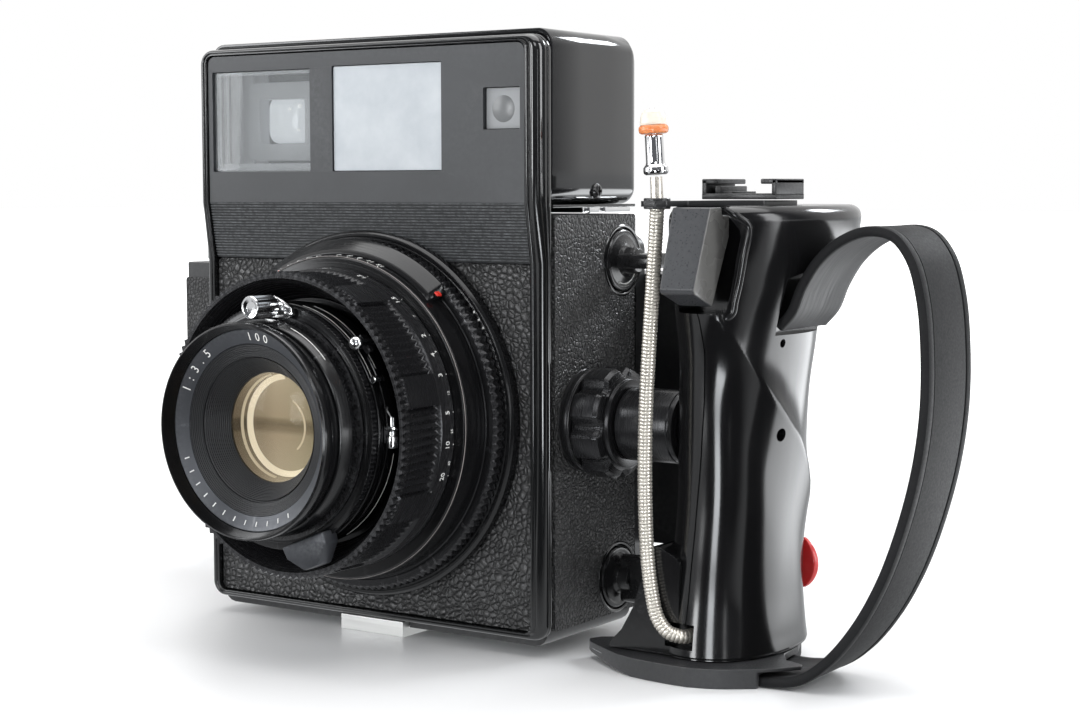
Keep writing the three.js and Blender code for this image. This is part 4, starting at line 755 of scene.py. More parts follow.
# ------------------------------------------------------------------ lens
def surf(z): return 2.6 * max(0.0, min(1.0, (CREASE_Z - z) / (CREASE_Z - STEP_Z))) if z > STEP_Z else 9.0
def build_lens():
    def clampband(a, r, h):
        z = AXZ + r * cos(rad(a))
        return r, (min(h, surf(z) - 0.05) if z > STEP_Z else h)
    turned("mount_flange", [(32, -0.6), (48.5, -0.6), (48.6, -0.42), (48.8, -0.42), (48.9, -0.6), (49.7, -0.6), (50.4, 0.2), (50.4, 3.2), (43, 3.2), (43, 5.2), (32, 5.2)], "lens_gloss", "body", "lens_mount_flange", 240, mod=clampband, r=0.1)
    # lock ring with a toothed rim
    T = 132
    def teeth(a, r, h):
        if r > 46.9:
            k = tri(a / 360 * T); r = r - 0.85 * (1 - k) * min(1.0, (r - 46.9) / 1.2)
        return r, h
    turned("lock_ring", [(39.4, -4.5), (44.6, -4.5), (44.75, -4.3), (45.1, -4.3), (45.25, -4.5), (47.2, -4.5), (48.3, -3.5), (48.3, -0.95), (39.4, -0.95)], "lens_black", "lens_lock", "lens_lock_ring", T * 8, mod=teeth, r=0.08)
    # fixed barrel: scale drum and raised hood over the scale
    drum = obj_from("d", *spin(fillet([(27.6, -21), (33.0, -21), (33.0, -12.55), (43.3, -12.55), (43.62, -12.2), (43.75, -11.9), (43.95, -11.9), (44.0, -11.6), (44.35, -8.4), (44.35, -4.8), (39.1, -4.8), (39.1, -0.95), (31.2, -0.95), (31.2, 11.8), (27.6, 11.8)], 0.08, 2), 200)[:2], "lens_gloss")
    hp = fillet([(43.8, -9.6), (44.5, -9.95), (45.6, -8.95), (47.6, -6.5), (48.35, -5.5), (48.35, -4.85), (43.8, -4.85)], 0.35, 3)
    V, F, N = [], [], 90
    for k in range(N + 1):
        a = rad(lerp(-50, 42.5, k / N)); e = min(k, N - k) / N * 92.5
        s_ = 1 - (1 - min(1.0, e / 2.2)) ** 2 * 0.35
        for r, h in hp:
            rr = 43.8 + (r - 43.8) * s_; V.append((rr * sin(a), h, AXZ + rr * cos(a)))
    m = len(hp)
    for k in range(N):
        for i in range(m):
            j = (i + 1) % m; F.append([k * m + i, k * m + j, (k + 1) * m + j, (k + 1) * m + i])
    F.append(list(range(m))); F.append([N * m + i for i in range(m)][::-1])
    hood = obj_from("h", V, F, "lens_gloss")
    place(join_objs("lens_barrel_drum", [drum, hood]), "body", "lens_barrel")
    turned("scale_line", [(43.70, -12.26), (43.76, -12.30), (43.86, -12.14), (43.80, -12.10)], "faint_fill", "body", (), 200, r=0.0)
    # depth-of-field numbers under the hood, index line and red mark
    f_ = ["15", "11", "8", "5", "4"]
    items = [(t, -3 - 4.6 * (5 - i)) for i, t in enumerate(f_)] + [(t, -3 + 4.6 * (5 - i)) for i, t in enumerate(f_)]
    dial_text(items, 44.2, -10.75, 2.3, "depth_numbers", "body")
    ticks([-3 + 4.6 * k for k in range(-5, 6) if k], 44.0, -11.95, -11.72, 0.25, "depth_ticks", "body")
    ticks([52.5, 55.5, 58.5], 48.2, -0.7, -0.55, 0.5, "flange_marks", "body", "white_fill", 0.45)
    ticks([-28.0, -26.5], 44.1, -11.7, -9.9, 0.5, "index_marks", "body", "red_fill")
    ticks([42.6], 46.6, -8.3, -6.6, 1.3, "red_dot", "body", "red_fill", 0.3)

    # focus ring: toothed front edge, fluted grips between smooth lands
    T2 = 120; seg = T2 * 8
    def grip(a, r, h):
        if h < -31.0 and r > 40.0:
            r = r - 0.95 * (1 - tri(a / 360 * T2))
        elif -31.0 <= h <= -18.4 and r > 39.0:
            g = (a + 9) % 45.0
            e = min(1.0, (h + 30.9) / 0.8, (-18.5 - h) / 0.8)
            if g < 33: r = 39.9 - 0.75 * (1 - tri(g / 3.0)) ** 0.8 * max(0.0, e)
            else: r = 40.45
        return r, h
    pr = [(38.7, -33.5), (40.5, -33.5), (40.5, -31.3), (39.6, -30.9), (39.6, -30.1)] + [(39.6, lerp(-29.6, -19.4, k / 4)) for k in range(5)] + [(39.6, -18.9), (39.6, -18.45),
          (40.55, -18.0), (40.6, -17.8), (40.6, -12.85), (33.3, -12.85), (33.3, -21.3), (34.2, -23.6), (35.4, -26.5)]
    turned("focus_ring_grip", pr, "lens_black", "focus", "focus_ring", seg, mod=grip, r=0.0, angle=40)
    ft = [("1.2", 18), ("1.5", 36), ("2", 54), ("3", 70), ("5", 84), ("10", 96), ("20", 108), ("1", 0), ("4", 62)]
    dial_text([("%s" % t, a) for t, a in ft], 40.66, -15.5, 2.3, "distance_numbers", "focus")
    dial_text([("7", 45), ("9", 61), ("12", 77), ("25", 91), ("60", 103)], 40.64, -13.9, 1.2, "distance_numbers_small", "focus")
    ticks([18, 36, 54, 70, 84, 96, 108, 0], 40.6, -13.2, -12.9, 0.2, "distance_ticks", "focus")

    # shutter: plates and stepped rings, with white arcs painted as highlights
    turned("shutter_drum", [(21.5, -33.6), (32.2, -33.6), (32.4, -33.4), (32.4, -31.0), (32.15, -30.8), (32.15, -30.4), (32.4, -30.2), (32.4, -25.6), (30.5, -22.4), (27.3, -22.4), (27.3, 5), (21.5, 5)], "lens_gloss", "shutter", "shutter_case", 180, r=0.08)
    # thin white arcs round the shutter: painted highlights along the ring edges
    for k, (r, y, a0, a1) in enumerate(((32.42, -32.6, 12, 64), (32.42, -29.6, 14, 60), (32.42, -27.4, 100, 150), (30.2, -33.66, 12, 46), (28.9, -36.42, 118, 160))):
        turned("shutter_painted_highlight_arc_%d" % k, [(r - 0.05, y), (r + 0.05, y), (r + 0.05, y + 0.16), (r - 0.05, y + 0.16)], "white_fill", "shutter", (), 60, r=0.0, a0=a0, a1=a1)
    # front cell: outer rim, finely grooved inside edge
    rim = [(24.0, -33.9), (24.0, -43.3), (26.95, -43.3), (27.1, -43.9), (28.0, -46.4), (28.14, -46.9), (28.14, -48.9), (27.9, -49.6), (27.45, -49.95), (27.25, -49.8)]
    rim += fine_rings(27.2, -49.6, 26.3, -46.3, 7, 0.10) + [(26.2, -45.9), (25.0, -45.2), (24.4, -38.0), (24.2, -34.1)]
    turned("front_cell_rim", rim, "lens_gloss", "shutter", "front_cell", 220, r=0.0, angle=24)
    band = [(26.15, -45.8), (26.15, -46.2)] + [(25.9, -46.28), (22.4, -44.75)]
    cone = [(22.3, -44.5)] + fine_rings(22.2, -44.6, 19.05, -43.15, 7, -0.09) + [(18.95, -42.75), (18.7, -42.65)] + [(18.62, -42.98)] + fine_rings(18.5, -42.85, 14.5, -37.55, 13, -0.11) + [(14.35, -37.2), (14.35, -36.2), (18.0, -36.2), (26.15, -43.6)]
    def nm(p, q, a): return 0 if min(p[0], q[0]) > 22.25 and max(p[1], q[1]) < -44.4 else 1
    turned("name_ring_plate", band + cone, ["lens_satin", "lens_cone"], "shutter", "name_ring", 220, r=0.0, matf=nm, angle=24)
    # generic numbers on the ring, in the place of its lettering
    V, F = [], []
    for s_, a in (("1:3.5", -52), ("100", 6)):
        step = {"1:3.5": 7.2, "100": 6.4}[s_]
        for i, ch in enumerate(s_):
            ang = a + (i - (len(s_) - 1) / 2) * step
            v, f = text_mesh(ch, 3.0, 0.02); b = len(V)
            for x, y, z in v:
                r = 24.2 + y; t = rad(ang) + x / r
                V.append((r * sin(t), lerp(-46.28, -44.75, (25.9 - r) / 3.5) - 0.06 - z, AXZ + r * cos(t)))
            F += [[b + i2 for i2 in q] for q in f]
    place(obj_from("ring_numbers", V, F, "white_fill", angle=60), "shutter")
    place(dial_dots(), "shutter")

    # glass, and what shows through it
    v, f, _ = spin([(0.0, -39.9), (4, -39.7), (8, -39.1), (11.5, -38.3), (14.3, -37.3), (14.3, -36.6), (0.0, -36.6)], 96, "y", (0, AXZ), False)
    place(obj_from("front_glass", v, f, "lens_surface"), "shutter", "front_element")
    # iris plate and sleeve carry the painted light and shade of the lens inside
    turned("iris_plate", [(0.01, -30.9), (8.4, -30.9), (21.2, -30.9), (21.2, -30.5), (0.01, -30.5)], "lens_inner", "shutter", "iris_diaphragm", 96, r=0.0)
    turned("inner_sleeve", [(14.3, -36.8), (15.3, -36.8), (15.3, -31.0), (13.6, -31.0), (14.0, -33.5)], "lens_inner_side", "shutter", (), 96, r=0.0)
    # pale glowing arcs inside the glass: painted highlights for reflections off the inner element edges
    turned("inner_rim_painted_highlight", [(12.35, -31.0), (13.4, -31.5), (13.6, -32.1), (13.2, -32.0), (12.1, -31.3)], "lens_inner_painted_glint", "shutter", (), 96, r=0.0, a0=150, a1=356)
    turned("inner_rim_painted_highlight_dim", [(13.75, -33.2), (14.1, -33.6), (14.2, -34.1), (13.9, -34.0), (13.6, -33.4)], "lens_inner_painted_glint_dim", "shutter", (), 96, r=0.0, a0=190, a1=345)
    turned("inner_painted_highlight_arc", [(7.2, -33.2), (7.45, -33.6), (7.85, -33.3), (7.6, -33.0)], "lens_inner_painted_glint_dim", "shutter", (), 72, r=0.0, a0=28, a1=140)

    # speed ring: smooth cone with a fine knurl at its rear edge
    def knurl(a, r, h):
        if h > -39.3 and r > 28.0: r -= 0.28 * (1 - tri(a / 360 * 150))
        return r, h
    turned("speed_ring_cone", [(24.4, -43.0), (27.3, -43.0), (27.6, -42.7), (28.35, -39.6), (28.35, -39.35), (28.4, -39.2), (28.4, -38.1), (24.4, -38.1)], "lens_gloss", "speed", "speed_ring", 150 * 6, mod=knurl, r=0.05)
    # white arc on the speed ring's upper right: a painted highlight
    turned("speed_ring_painted_highlight", [(28.05, -40.9), (28.15, -40.9), (28.2, -40.75), (28.1, -40.7)], "white_fill", "speed", (), 60, r=0.0, a0=20, a1=48)
    # aperture ring with its wedge tab
    def knurl2(a, r, h):
        if r > 32.0 and (a > 200 or a < 130): r -= 0.3 * (1 - tri(a / 360 * 170))
        return r, h
    ring = obj_from("r", *spin(fillet([(24.3, -36.3), (30.3, -36.3), (30.5, -36.1), (32.2, -36.1), (32.2, -33.95), (24.3, -33.95)], 0.06, 1), 170 * 6, "y", (0, AXZ), True, knurl2)[:2], "lens_gloss")
    c = rad(158); sx, sz = sin(c), cos(c); tx, tz = sz, -sx
    def q(r, w): return (sx * r + tx * w, AXZ + sz * r + tz * w)
    tab = obj_from("tab", *prism([q(30.3, -7.4), q(33.5, -7.0), q(38, -2.5), q(38, 2.3), q(33.5, 7.0), q(30.3, 7.4)], [], "y", -39.6, -33.95), "lens_satin"); bevel(tab, 0.45, 3); apply_mods(tab)
    place(join_objs("aperture_ring_piece", [ring, tab]), "aperture", "aperture_ring")

    # cocking lever: ring, bent arm, fluted chrome knob with a dished face
    def flute(a, r, h):
        if r > 2.7 and -47.2 < h < -39.4: r -= 0.26 * (1 - tri(a / 360 * 18))
        return r, h
    knob = obj_from("k", *spin(fillet([(0.0, -46.9), (1.5, -47.0), (2.3, -47.5), (2.75, -47.6), (3.0, -47.2), (3.0, -46.9), (3.0, -39.6), (2.6, -39.2), (2.2, -38.9), (2.2, -36.7), (0.0, -36.7)], 0.1, 2, False), 18 * 8, "y", (1.8, AXZ + 31.75), False, flute)[:2], "chrome")
    ring = obj_from("k2", *spin([(24.4, -37.6), (29.6, -37.6), (29.6, -36.7), (24.4, -36.7)], 120)[:2], "lens_gloss")
    arm = obj_from("k3", *prism(fillet([(-1.6, AXZ + 28.5), (5.4, AXZ + 28.2), (7.8, AXZ + 29.6), (7.4, AXZ + 31.4), (4.6, AXZ + 33.2), (1.8, AXZ + 34.4), (-0.8, AXZ + 33.2)], 0.9, 3), [], "y", -38.0, -36.8), "chrome"); bevel(arm, 0.25, 2); apply_mods(arm)
    place(join_objs("cocking_lever_piece", [knob, ring, arm]), "cocking", "cocking_lever")
    # shutter release: ball on a stem with its stop screw
    a = rad(49); x, z = 34.9 * sin(a), AXZ + 34.9 * cos(a)
    ball = [(0.0, -37.1)] + [(1.9 * cos(rad(t)), -35.2 + 1.9 * sin(rad(t))) for t in range(-75, 61, 15)] + [(0.95, -33.4), (0.95, -29.2), (0.0, -29.2)]
    b1 = obj_from("b1", *spin(ball, 32, "y", (x, z), False)[:2], "chrome")
    a2 = rad(66); b2 = obj_from("b2", *spin([(0.0, -34.7), (0.9, -34.6), (1.05, -34.3), (1.05, -31), (0.0, -31)], 24, "y", (33.9 * sin(a2), AXZ + 33.9 * cos(a2)), False)[:2], "chrome")
    v, f = boxv(-2.6, 2.6, -31.4, -28.6, 33.0, 35.0)
    v = [(p[0] * cos(a) + p[2] * sin(a), p[1], AXZ - p[0] * sin(a) + p[2] * cos(a)) for p in v]
    foot = obj_from("b3", v, f, "lens_gloss"); bevel(foot, 0.3, 2); apply_mods(foot)
    place(join_objs("release_lever_piece", [b1, b2, foot]), "release", "release_lever")
    # cable socket with its wire guard
    x, y = 34.6, -31.0
    k1 = obj_from("s1", *spin(fillet([(0.0, AXZ - 3.6), (1.5, AXZ - 3.6), (1.75, AXZ - 3.3), (1.75, AXZ - 0.6), (1.3, AXZ - 0.3), (1.3, AXZ + 0.6), (0.85, AXZ + 0.9), (0.85, AXZ + 4.2), (0.0, AXZ + 4.4)], 0.12, 2, False), 32, "z", (x, y), False)[:2], "chrome")
    k2 = obj_from("s2", *boxv(32.9, 36.4, -32.3, -29.7, AXZ + 0.9, AXZ + 1.9), "chrome"); bevel(k2, 0.25, 2); apply_mods(k2)
    wire = tube(catmull([(34.6, -31.2, AXZ + 4.2), (34.3, -31.8, AXZ + 5.0), (34.1, -32.4, AXZ + 5.9), (34.2, -32.7, AXZ + 6.6), (34.5, -32.8, AXZ + 7.1)], 28), 0.32, 10)
    k3 = obj_from("s3", *wire, "chrome")
    k4 = obj_from("s4", *boxv(32.6, 34.4, -32.0, -30.0, AXZ - 2.4, AXZ + 1.8), "lens_gloss")
    place(join_objs("cable_socket_piece", [k1, k2, k3, k4]), "shutter", "cable_socket")

def tube(path, r, n=12, mod=None):
    """Round tube along a path of points, capped; mod(k) scales the radius."""
    P = [Vector(p) for p in path]; loops = []
    t0 = (P[1] - P[0]).normalized(); nrm = t0.orthogonal().normalized()
    for k, p in enumerate(P):
        t = (P[min(k + 1, len(P) - 1)] - P[max(k - 1, 0)]).normalized()
        nrm = (nrm - t * nrm.dot(t)).normalized(); b = t.cross(nrm)
        rr = r * (mod(k) if mod else 1.0)
        loops.append([tuple(p + nrm * (rr * cos(2 * pi * i / n)) + b * (rr * sin(2 * pi * i / n))) for i in range(n)])
    return loops_mesh(loops)

def dial_dots():
    V, F = [], []
    for a in [150 + 9 * k for k in range(12)]:
        t = rad(a); r0, r1 = 23.6, 24.8; c, s_ = cos(t), sin(t); b = len(V)
        for w in (-0.16, 0.16):
            for r in (r0, r1):
                y = lerp(-46.28, -44.75, (25.9 - r) / 3.5)
                for d in (0.02, 0.09): V.append((r * s_ + w * c, y - d, AXZ + r * c - w * s_))
        F += [[b + i for i in q] for q in boxv(0, 1, 0, 1, 0, 1)[1]]
    return obj_from("ring_ticks", V, F, "white_fill")

# what is seen inside the lens, all painted light: warm glass painted as lit, a darker level band that is a painted
# reflection, sides painted darker, and a faint glow
def lens_inner(name, warm, pale, painted_band_dark, painted_band_core):
    s = NT(name); c = s.node("ShaderNodeTexCoord"); sep = s.node("ShaderNodeSeparateXYZ"); s.l.new(c.outputs["Object"], sep.inputs[0])
    z = s.mathn("SUBTRACT", sep.outputs["Z"], AXZ / 1000)
    up = s.ramp(s.mapr(z, 0.0, 1.0, -0.014, 0.014), [(0.0, pale), (0.40, warm), (0.445, painted_band_dark), (0.50, painted_band_core), (0.54, painted_band_dark), (0.57, warm), (1.0, pale)])
    x = s.ramp(s.mapr(sep.outputs["X"], 0.0, 1.0, -0.014, 0.014), [(0.0, (0.55,) * 3), (0.35, (1.0,) * 3), (0.72, (0.8, 0.85, 0.8)), (1.0, (0.5, 0.54, 0.5))])
    m = s.node("ShaderNodeMix", data_type="RGBA", blend_type="MULTIPLY"); m.inputs[0].default_value = 0.8
    s.l.new(up, m.inputs[6]); s.l.new(x, m.inputs[7])
    s.link(m.outputs[2], "Base Color"); s.link(m.outputs[2], "Emission Color"); s.set(Roughness=0.25, Emission_Strength=0.35)
lens_inner("lens_inner", (0.31, 0.27, 0.225), (0.42, 0.385, 0.335), (0.19, 0.16, 0.125), (0.13, 0.11, 0.085))
# a darker copy for the inner sleeve: painted shade
lens_inner("lens_inner_side", (0.21, 0.18, 0.15), (0.30, 0.265, 0.225), (0.09, 0.075, 0.06), (0.07, 0.06, 0.05))
# glowing pale colour for the painted highlights inside the lens
s = NT("lens_inner_painted_glint_dim"); s.link(s.mix(s.noise(80, 3), (0.42, 0.38, 0.31), (0.52, 0.48, 0.41)), "Base Color"); s.set(Roughness=0.2, Emission_Strength=0.5, Emission_Color=(0.66, 0.62, 0.54, 1))
MATS["lens_inner_painted_glint"].node_tree.nodes["Principled BSDF"].inputs["Emission Strength"].default_value = 0.55
MATS["lens_inner_painted_glint"].node_tree.nodes["Principled BSDF"].inputs["Emission Color"].default_value = (0.85, 0.82, 0.76, 1)
build_lens()

# ------------------------------------------------------------------ rear standard, film holder and clamps
def build_rear():
    from_cad("holder_shell", "enamel_satin", 0.5, 3)
    from_cad("holder_door", "enamel_satin", 0.45, 3)
    plate("holder_leather_front", rrect(-120.6, -58.5, 24.4, 94.6, 1.0, 3), [], "y", 57.62, 58.4, "leatherette_fine", "rear", (), bev=0.2)
    plate("door_leather", rrect(-112.5, 66.5, 26.5, 96.0, 2.2, 4), [], "y", 79.1, 79.95, "leatherette_fine", "back_door", (), bev=0.3)
    from_cad("holder_latch", "chrome", 0.3, 2)
    from_cad("dark_slide", "aluminium", 0.2, 2)
    for n in ("takeup_spool", "supply_spool"):
        b0, b1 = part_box(n); x = (b0.x + b1.x) * 500; y = (b0.y + b1.y) * 500 + OY; z0, z1 = b0.z * 1000, b1.z * 1000
        turned(n + "_piece", [(0.0, z0), (6.6, z0), (7.0, z0 + 0.4), (7.0, z0 + 1.4), (4.4, z0 + 1.6), (4.4, z1 - 1.6), (7.0, z1 - 1.4), (7.0, z1 - 0.4), (6.6, z1), (0.0, z1)], "spool_plastic", B(n), n, 48, "z", (x, y), closed=False, r=0.1)
    # film advance: ribbed hub cap and cranked arm
    hx, hy, z1 = -104.5, 67.5, 99.5
    def rib(a, r, h):
        if r > 10.7 and 101.4 < h < 107.0: r -= 0.35 * (1 - tri(a / 360 * 60))
        return r, h
    # spin about z measures its angle from +x, so the ribs need no other offset
    hub = obj_from("h", *spin(fillet([(0.0, 99.85), (10.6, 99.85), (11.2, 101.0), (11.2, 107.2), (10.4, 108.4), (9.4, 108.9), (3.2, 108.9), (2.8, 108.5), (0.0, 108.5)], 0.2, 3, False), 60 * 8, "z", (hx, hy), False, rib)[:2], "knob_black")
    arm = obj_from("a", *prism(fillet([(hx + 6, hy - 6), (hx + 34, hy - 4), (hx + 39, hy - 1), (hx + 39, hy + 3.5), (hx + 34, hy + 5), (hx + 6, hy + 6)], 2.2, 4), [], "z", z1 + 2.2, z1 + 5.2), "knob_black"); bevel(arm, 0.6, 3); apply_mods(arm)
    place(join_objs("advance_lever_piece", [hub, arm]), "advance", "advance_lever")
    # wing knobs that clamp the slide rods
    for s_, sn in ((1, "right"), (-1, "left")):
        for hi, hn in ((True, "upper"), (False, "lower")):
            y, z = (40.6, 103.9) if hi else (38.2, 16.5)
            node = "lock_knob_%s_%s" % (hn, sn)
            def X(v): return [(p[0] * s_, p[1], p[2]) for p in v]
            v, f, _ = spin(fillet([(0.0, 55.9), (2.1, 55.9), (2.1, 57.5), (8.3, 57.5), (8.45, 57.8), (8.45, 59.2), (8.0, 59.5), (7.4, 59.5), (6.9, 59.25), (4.5, 60.1), (3.7, 60.9), (3.5, 63.8), (3.1, 64.2), (0.0, 64.3)], 0.12, 2, False), 72, "x", (y, z), False)
            disc = obj_from("d", X(v), f, "knob_black")
            if hi: o = [(y + p[0], z + p[1]) for p in rrect(-6.6, 6.6, -2.0, 2.0, 1.5, 6)]
            else: o = [(y + p[0], z + p[1]) for p in rrect(-2.0, 2.0, -6.6, 6.6, 1.5, 6)]
            v, f = prism(o, [], "x", 61.0, 70.6)
            wing = obj_from("w", X(v), f, "knob_black"); bevel(wing, 0.7, 4, 50); apply_mods(wing)
            place(join_objs(node + "_piece", [disc, wing]), B(node), node)
            # turned seat around each clamp screw
            v, f, _ = spin(fillet([(8.75, 57.0), (8.75, 58.4), (9.05, 59.1), (9.5, 59.25), (9.9, 59.0), (9.95, 57.0)], 0.12, 2), 72, "x", (y, z))
            place(obj_from("clamp_seat_%s_%s" % (hn, sn), X(v), f, "enamel_gloss"), "body", ())
    # white arc on the upper right knob's disc: a painted highlight, the glint along its lower edge
    v, f, _ = spin([(6.3, 59.52), (6.6, 59.52), (6.6, 59.6), (6.3, 59.6)], 60, "x", (40.6, 103.9), a0=118, a1=205)
    place(obj_from("clamp_painted_highlight_arc", v, f, "white_fill"), "knob_upper_right")
build_rear()

# ------------------------------------------------------------------ pistol grip
GS = [(5.3, 101.0, 28.6, 16.2, 25.0), (10, 100.9, 28.7, 15.7, 24.4), (20, 101.0, 29.1, 14.8, 23.4), (32, 101.6, 29.5, 14.1, 22.9),
      (45, 102.1, 30.0, 13.9, 22.7), (60, 102.2, 30.2, 13.9, 22.8), (72, 102.3, 30.6, 14.0, 23.2), (82, 102.5, 31.6, 14.4, 24.6),
      (91, 102.7, 31.9, 15.5, 26.1), (99, 103.2, 35.4, 17.6, 30.5), (106, 103.6, 37.2, 19.2, 33.4), (112, 103.9, 38.4, 20.1, 35.0),
      (117.4, 104.1, 38.9, 20.5, 35.5), (121, 104.1, 38.9, 20.6, 35.6)]
EXP = 2.15
def gsec(z):
    for i in range(len(GS) - 1):
        if GS[i][0] <= z <= GS[i + 1][0]: break
    else: i = 0 if z < GS[0][0] else len(GS) - 2
    def m(k, c):
        if k <= 0: return (GS[1][c] - GS[0][c]) / (GS[1][0] - GS[0][0])
        if k >= len(GS) - 1: return (GS[-1][c] - GS[-2][c]) / (GS[-1][0] - GS[-2][0])
        return (GS[k + 1][c] - GS[k - 1][c]) / (GS[k + 1][0] - GS[k - 1][0])
    h = GS[i + 1][0] - GS[i][0]; t = (z - GS[i][0]) / h; out = []
    for c in range(1, 5):
        p0, p1, m0, m1 = GS[i][c], GS[i + 1][c], m(i, c) * h, m(i + 1, c) * h
        out.append((2 * t ** 3 - 3 * t * t + 1) * p0 + (t ** 3 - 2 * t * t + t) * m0 + (-2 * t ** 3 + 3 * t * t) * p1 + (t ** 3 - t * t) * m1)
    return out
def gpt(td, z, grow=0.0):
    cx, cy, a, b = gsec(z); c, s_ = cos(rad(td)), sin(rad(td))
    a += grow; b += grow
    return (cx + a * math.copysign(abs(c) ** (2 / EXP), c), cy + b * math.copysign(abs(s_) ** (2 / EXP), s_), z)
def gfront(x, z, out=0.0):
    cx, cy, a, b = gsec(z); u = min(0.999, abs(x - cx) / a)
    return cy - b * (1 - u ** EXP) ** (1 / EXP) - out
SEAM = 101.6
SC = [(-100, 97.0), (-86, 93.5), (-72, 91.0), (-56, 83.5), (-36, 76.0), (-17, 68.8), (7, 59.0), (22, 52.5), (38, 45.0), (60, 37.0), (90, 31.0)]
def scurve(td):
    if td <= SC[0][0]: return SC[0][1]
    for (a, za), (b, zb) in zip(SC, SC[1:]):
        if a <= td <= b: return lerp(za, zb, (td - a) / (b - a))
    return SC[-1][1]
def build_grip():
    NTH, TOP, R = 168, 119.2, 3.6
    zs = [5.3, 5.5, 6.0, 7.0]; z = 8.0
    while z < TOP - R: zs.append(z); z += 0.85
    rows = [(zz, 0.0) for zz in zs] + [(TOP - R + R * sin(rad(q)), -R * (1 - cos(rad(q)))) for q in range(0, 91, 10)]
    loops = []
    for zz, g in rows:
        L = []
        for i in range(NTH):
            td = -180 + 360.0 * (i + 0.5) / NTH
            d = 0.0
            if -100 < td < 90:
                w = smooth01((td + 96) / 22) * smooth01((90 - td) / 30)
                dz = zz - scurve(td)
                d = w * (1.25 * math.exp(-abs(dz) / (6.5 if dz > 0 else 9.0)) - 0.35 * math.exp(-((dz + (16 if dz < 0 else -12)) / 11.0) ** 2))
            # finger scoop down the front panel
            gg = g + (-0.3 if zz < 5.6 else 0.0)
            L.append(gpt(td, zz, gg + d))
        loops.append(L)
    v, f = loops_mesh(loops)
    g = obj_from("grip", v, f, "moulded_black")
    def web(x0=76.2, x1=97):
        pts = fillet([(x0, 5.3), (97, 5.3), (97, 30), (88.6, 34), (86.2, 24), (83.4, 16.2), (80.0, 10.2), (76.8, 7.0)], 3.0, 6)
        return prism(pts, [], "y", 5.6, 24.0)
    w = obj_from("web", *web(), "moulded_black"); bevel(w, 1.6, 4, 50); apply_mods(w)
    m = g.modifiers.new("u", "BOOLEAN"); m.operation = "UNION"; m.solver = "EXACT"; m.object = w; apply_mods(g, 35); bpy.data.objects.remove(w)
    cuts = []
    cuts.append(prism(fillet([(95.2, 92.4), (109.2, 92.4), (113.4, 111.6), (113.2, 113.4), (110.4, 117.4), (108.4, 126.0), (95.2, 126.0)], 1.2, 4), [], "y", -10, 15.6))
    cuts.append(prism([(114.4, 86.6), (127.5, 86.6), (127.5, 103.5), (122.4, 103.5), (118.6, 100.2), (114.4, 93)], [], "y", 20.6, 50.4))
    cuts.append(boxv(93.0, 101.9, -5, 9.6, 7.6, 13.9))
    cuts.append(cylv("x", 10.0, 70, 90.8, 22, 61.6, 48))
    cuts.append(cylv("x", 1.1, 112, 130, 24.0, 84.5, 20)); cuts.append(cylv("x", 1.7, 110, 130, 24.0, 61.2, 24))
    # parting line between the two halves
    L = []
    for k in range(41):
        zz = lerp(13.6, 92.6, k / 40); x = seam_x(zz); y = gfront(x, zz) + 0.75
        L.append([(x - 0.19, -8, zz), (x + 0.19, -8, zz), (x + 0.19, y, zz), (x - 0.19, y, zz)])
    cuts.append(loops_mesh(L))
    for c in cuts: boolean(g, cutter(*c))
    finish_mesh(g.data, 32)
    place(g, "body", ("grip_half_inner", "grip_half_outer"))
    wn = g.modifiers.new("wn", "WEIGHTED_NORMAL"); wn.keep_sharp = True; wn.weight = 50
    g.name = "grip_moulding"
    # raised rib that frames the outer side of the trigger pocket
    path = []
    for x, z in catmull2([(110.2, 118.6), (112.3, 117.0), (114.7, 114.6), (114.9, 112.6), (113.9, 107.5), (112.5, 101.0), (111.1, 95.6), (110.4, 92.7), (109.2, 91.5), (107.4, 91.2)], 60):
        path.append((x, gfront(x, min(z, 117.4), -0.1), z))
    v, f = tube(path, 0.95, 14, lambda k: 0.55 + 0.45 * min(1.0, k / 6, (60 - k) / 6))
    place(obj_from("pocket_rib", v, f, "moulded_black", angle=60), "body", ())

    # trigger: slab-sided, leaning forward
    o = [(2.6, 118.8), (-3.9, 98.6), (-3.0, 97.6), (6.4, 94.2), (12.6, 111.5), (12.6, 116.9), (9.0, 116.9), (8.6, 118.8)]
    v, f = prism(o, [], "x", 96.4, 107.2)
    v = [(x - (1.2 if x > 100 else 0.0) * max(0.0, (110 - z) / 14), y, z) for x, y, z in v]
    # faces on the far side take the lighter material, painted as a reflection
    ti = []
    for q_ in f:
        xs = [v[k][0] for k in q_]; ti.append(1 if min(xs) > 104 else 0)
    t = obj_from("grip_trigger_piece", v, f, ["trigger_black", "trigger_side_painted_reflection"], ti); bevel(t, 0.55, 4, 24); apply_mods(t); place(t, "trigger", "grip_trigger")
    wn = t.modifiers.new("wn", "WEIGHTED_NORMAL"); wn.keep_sharp = True

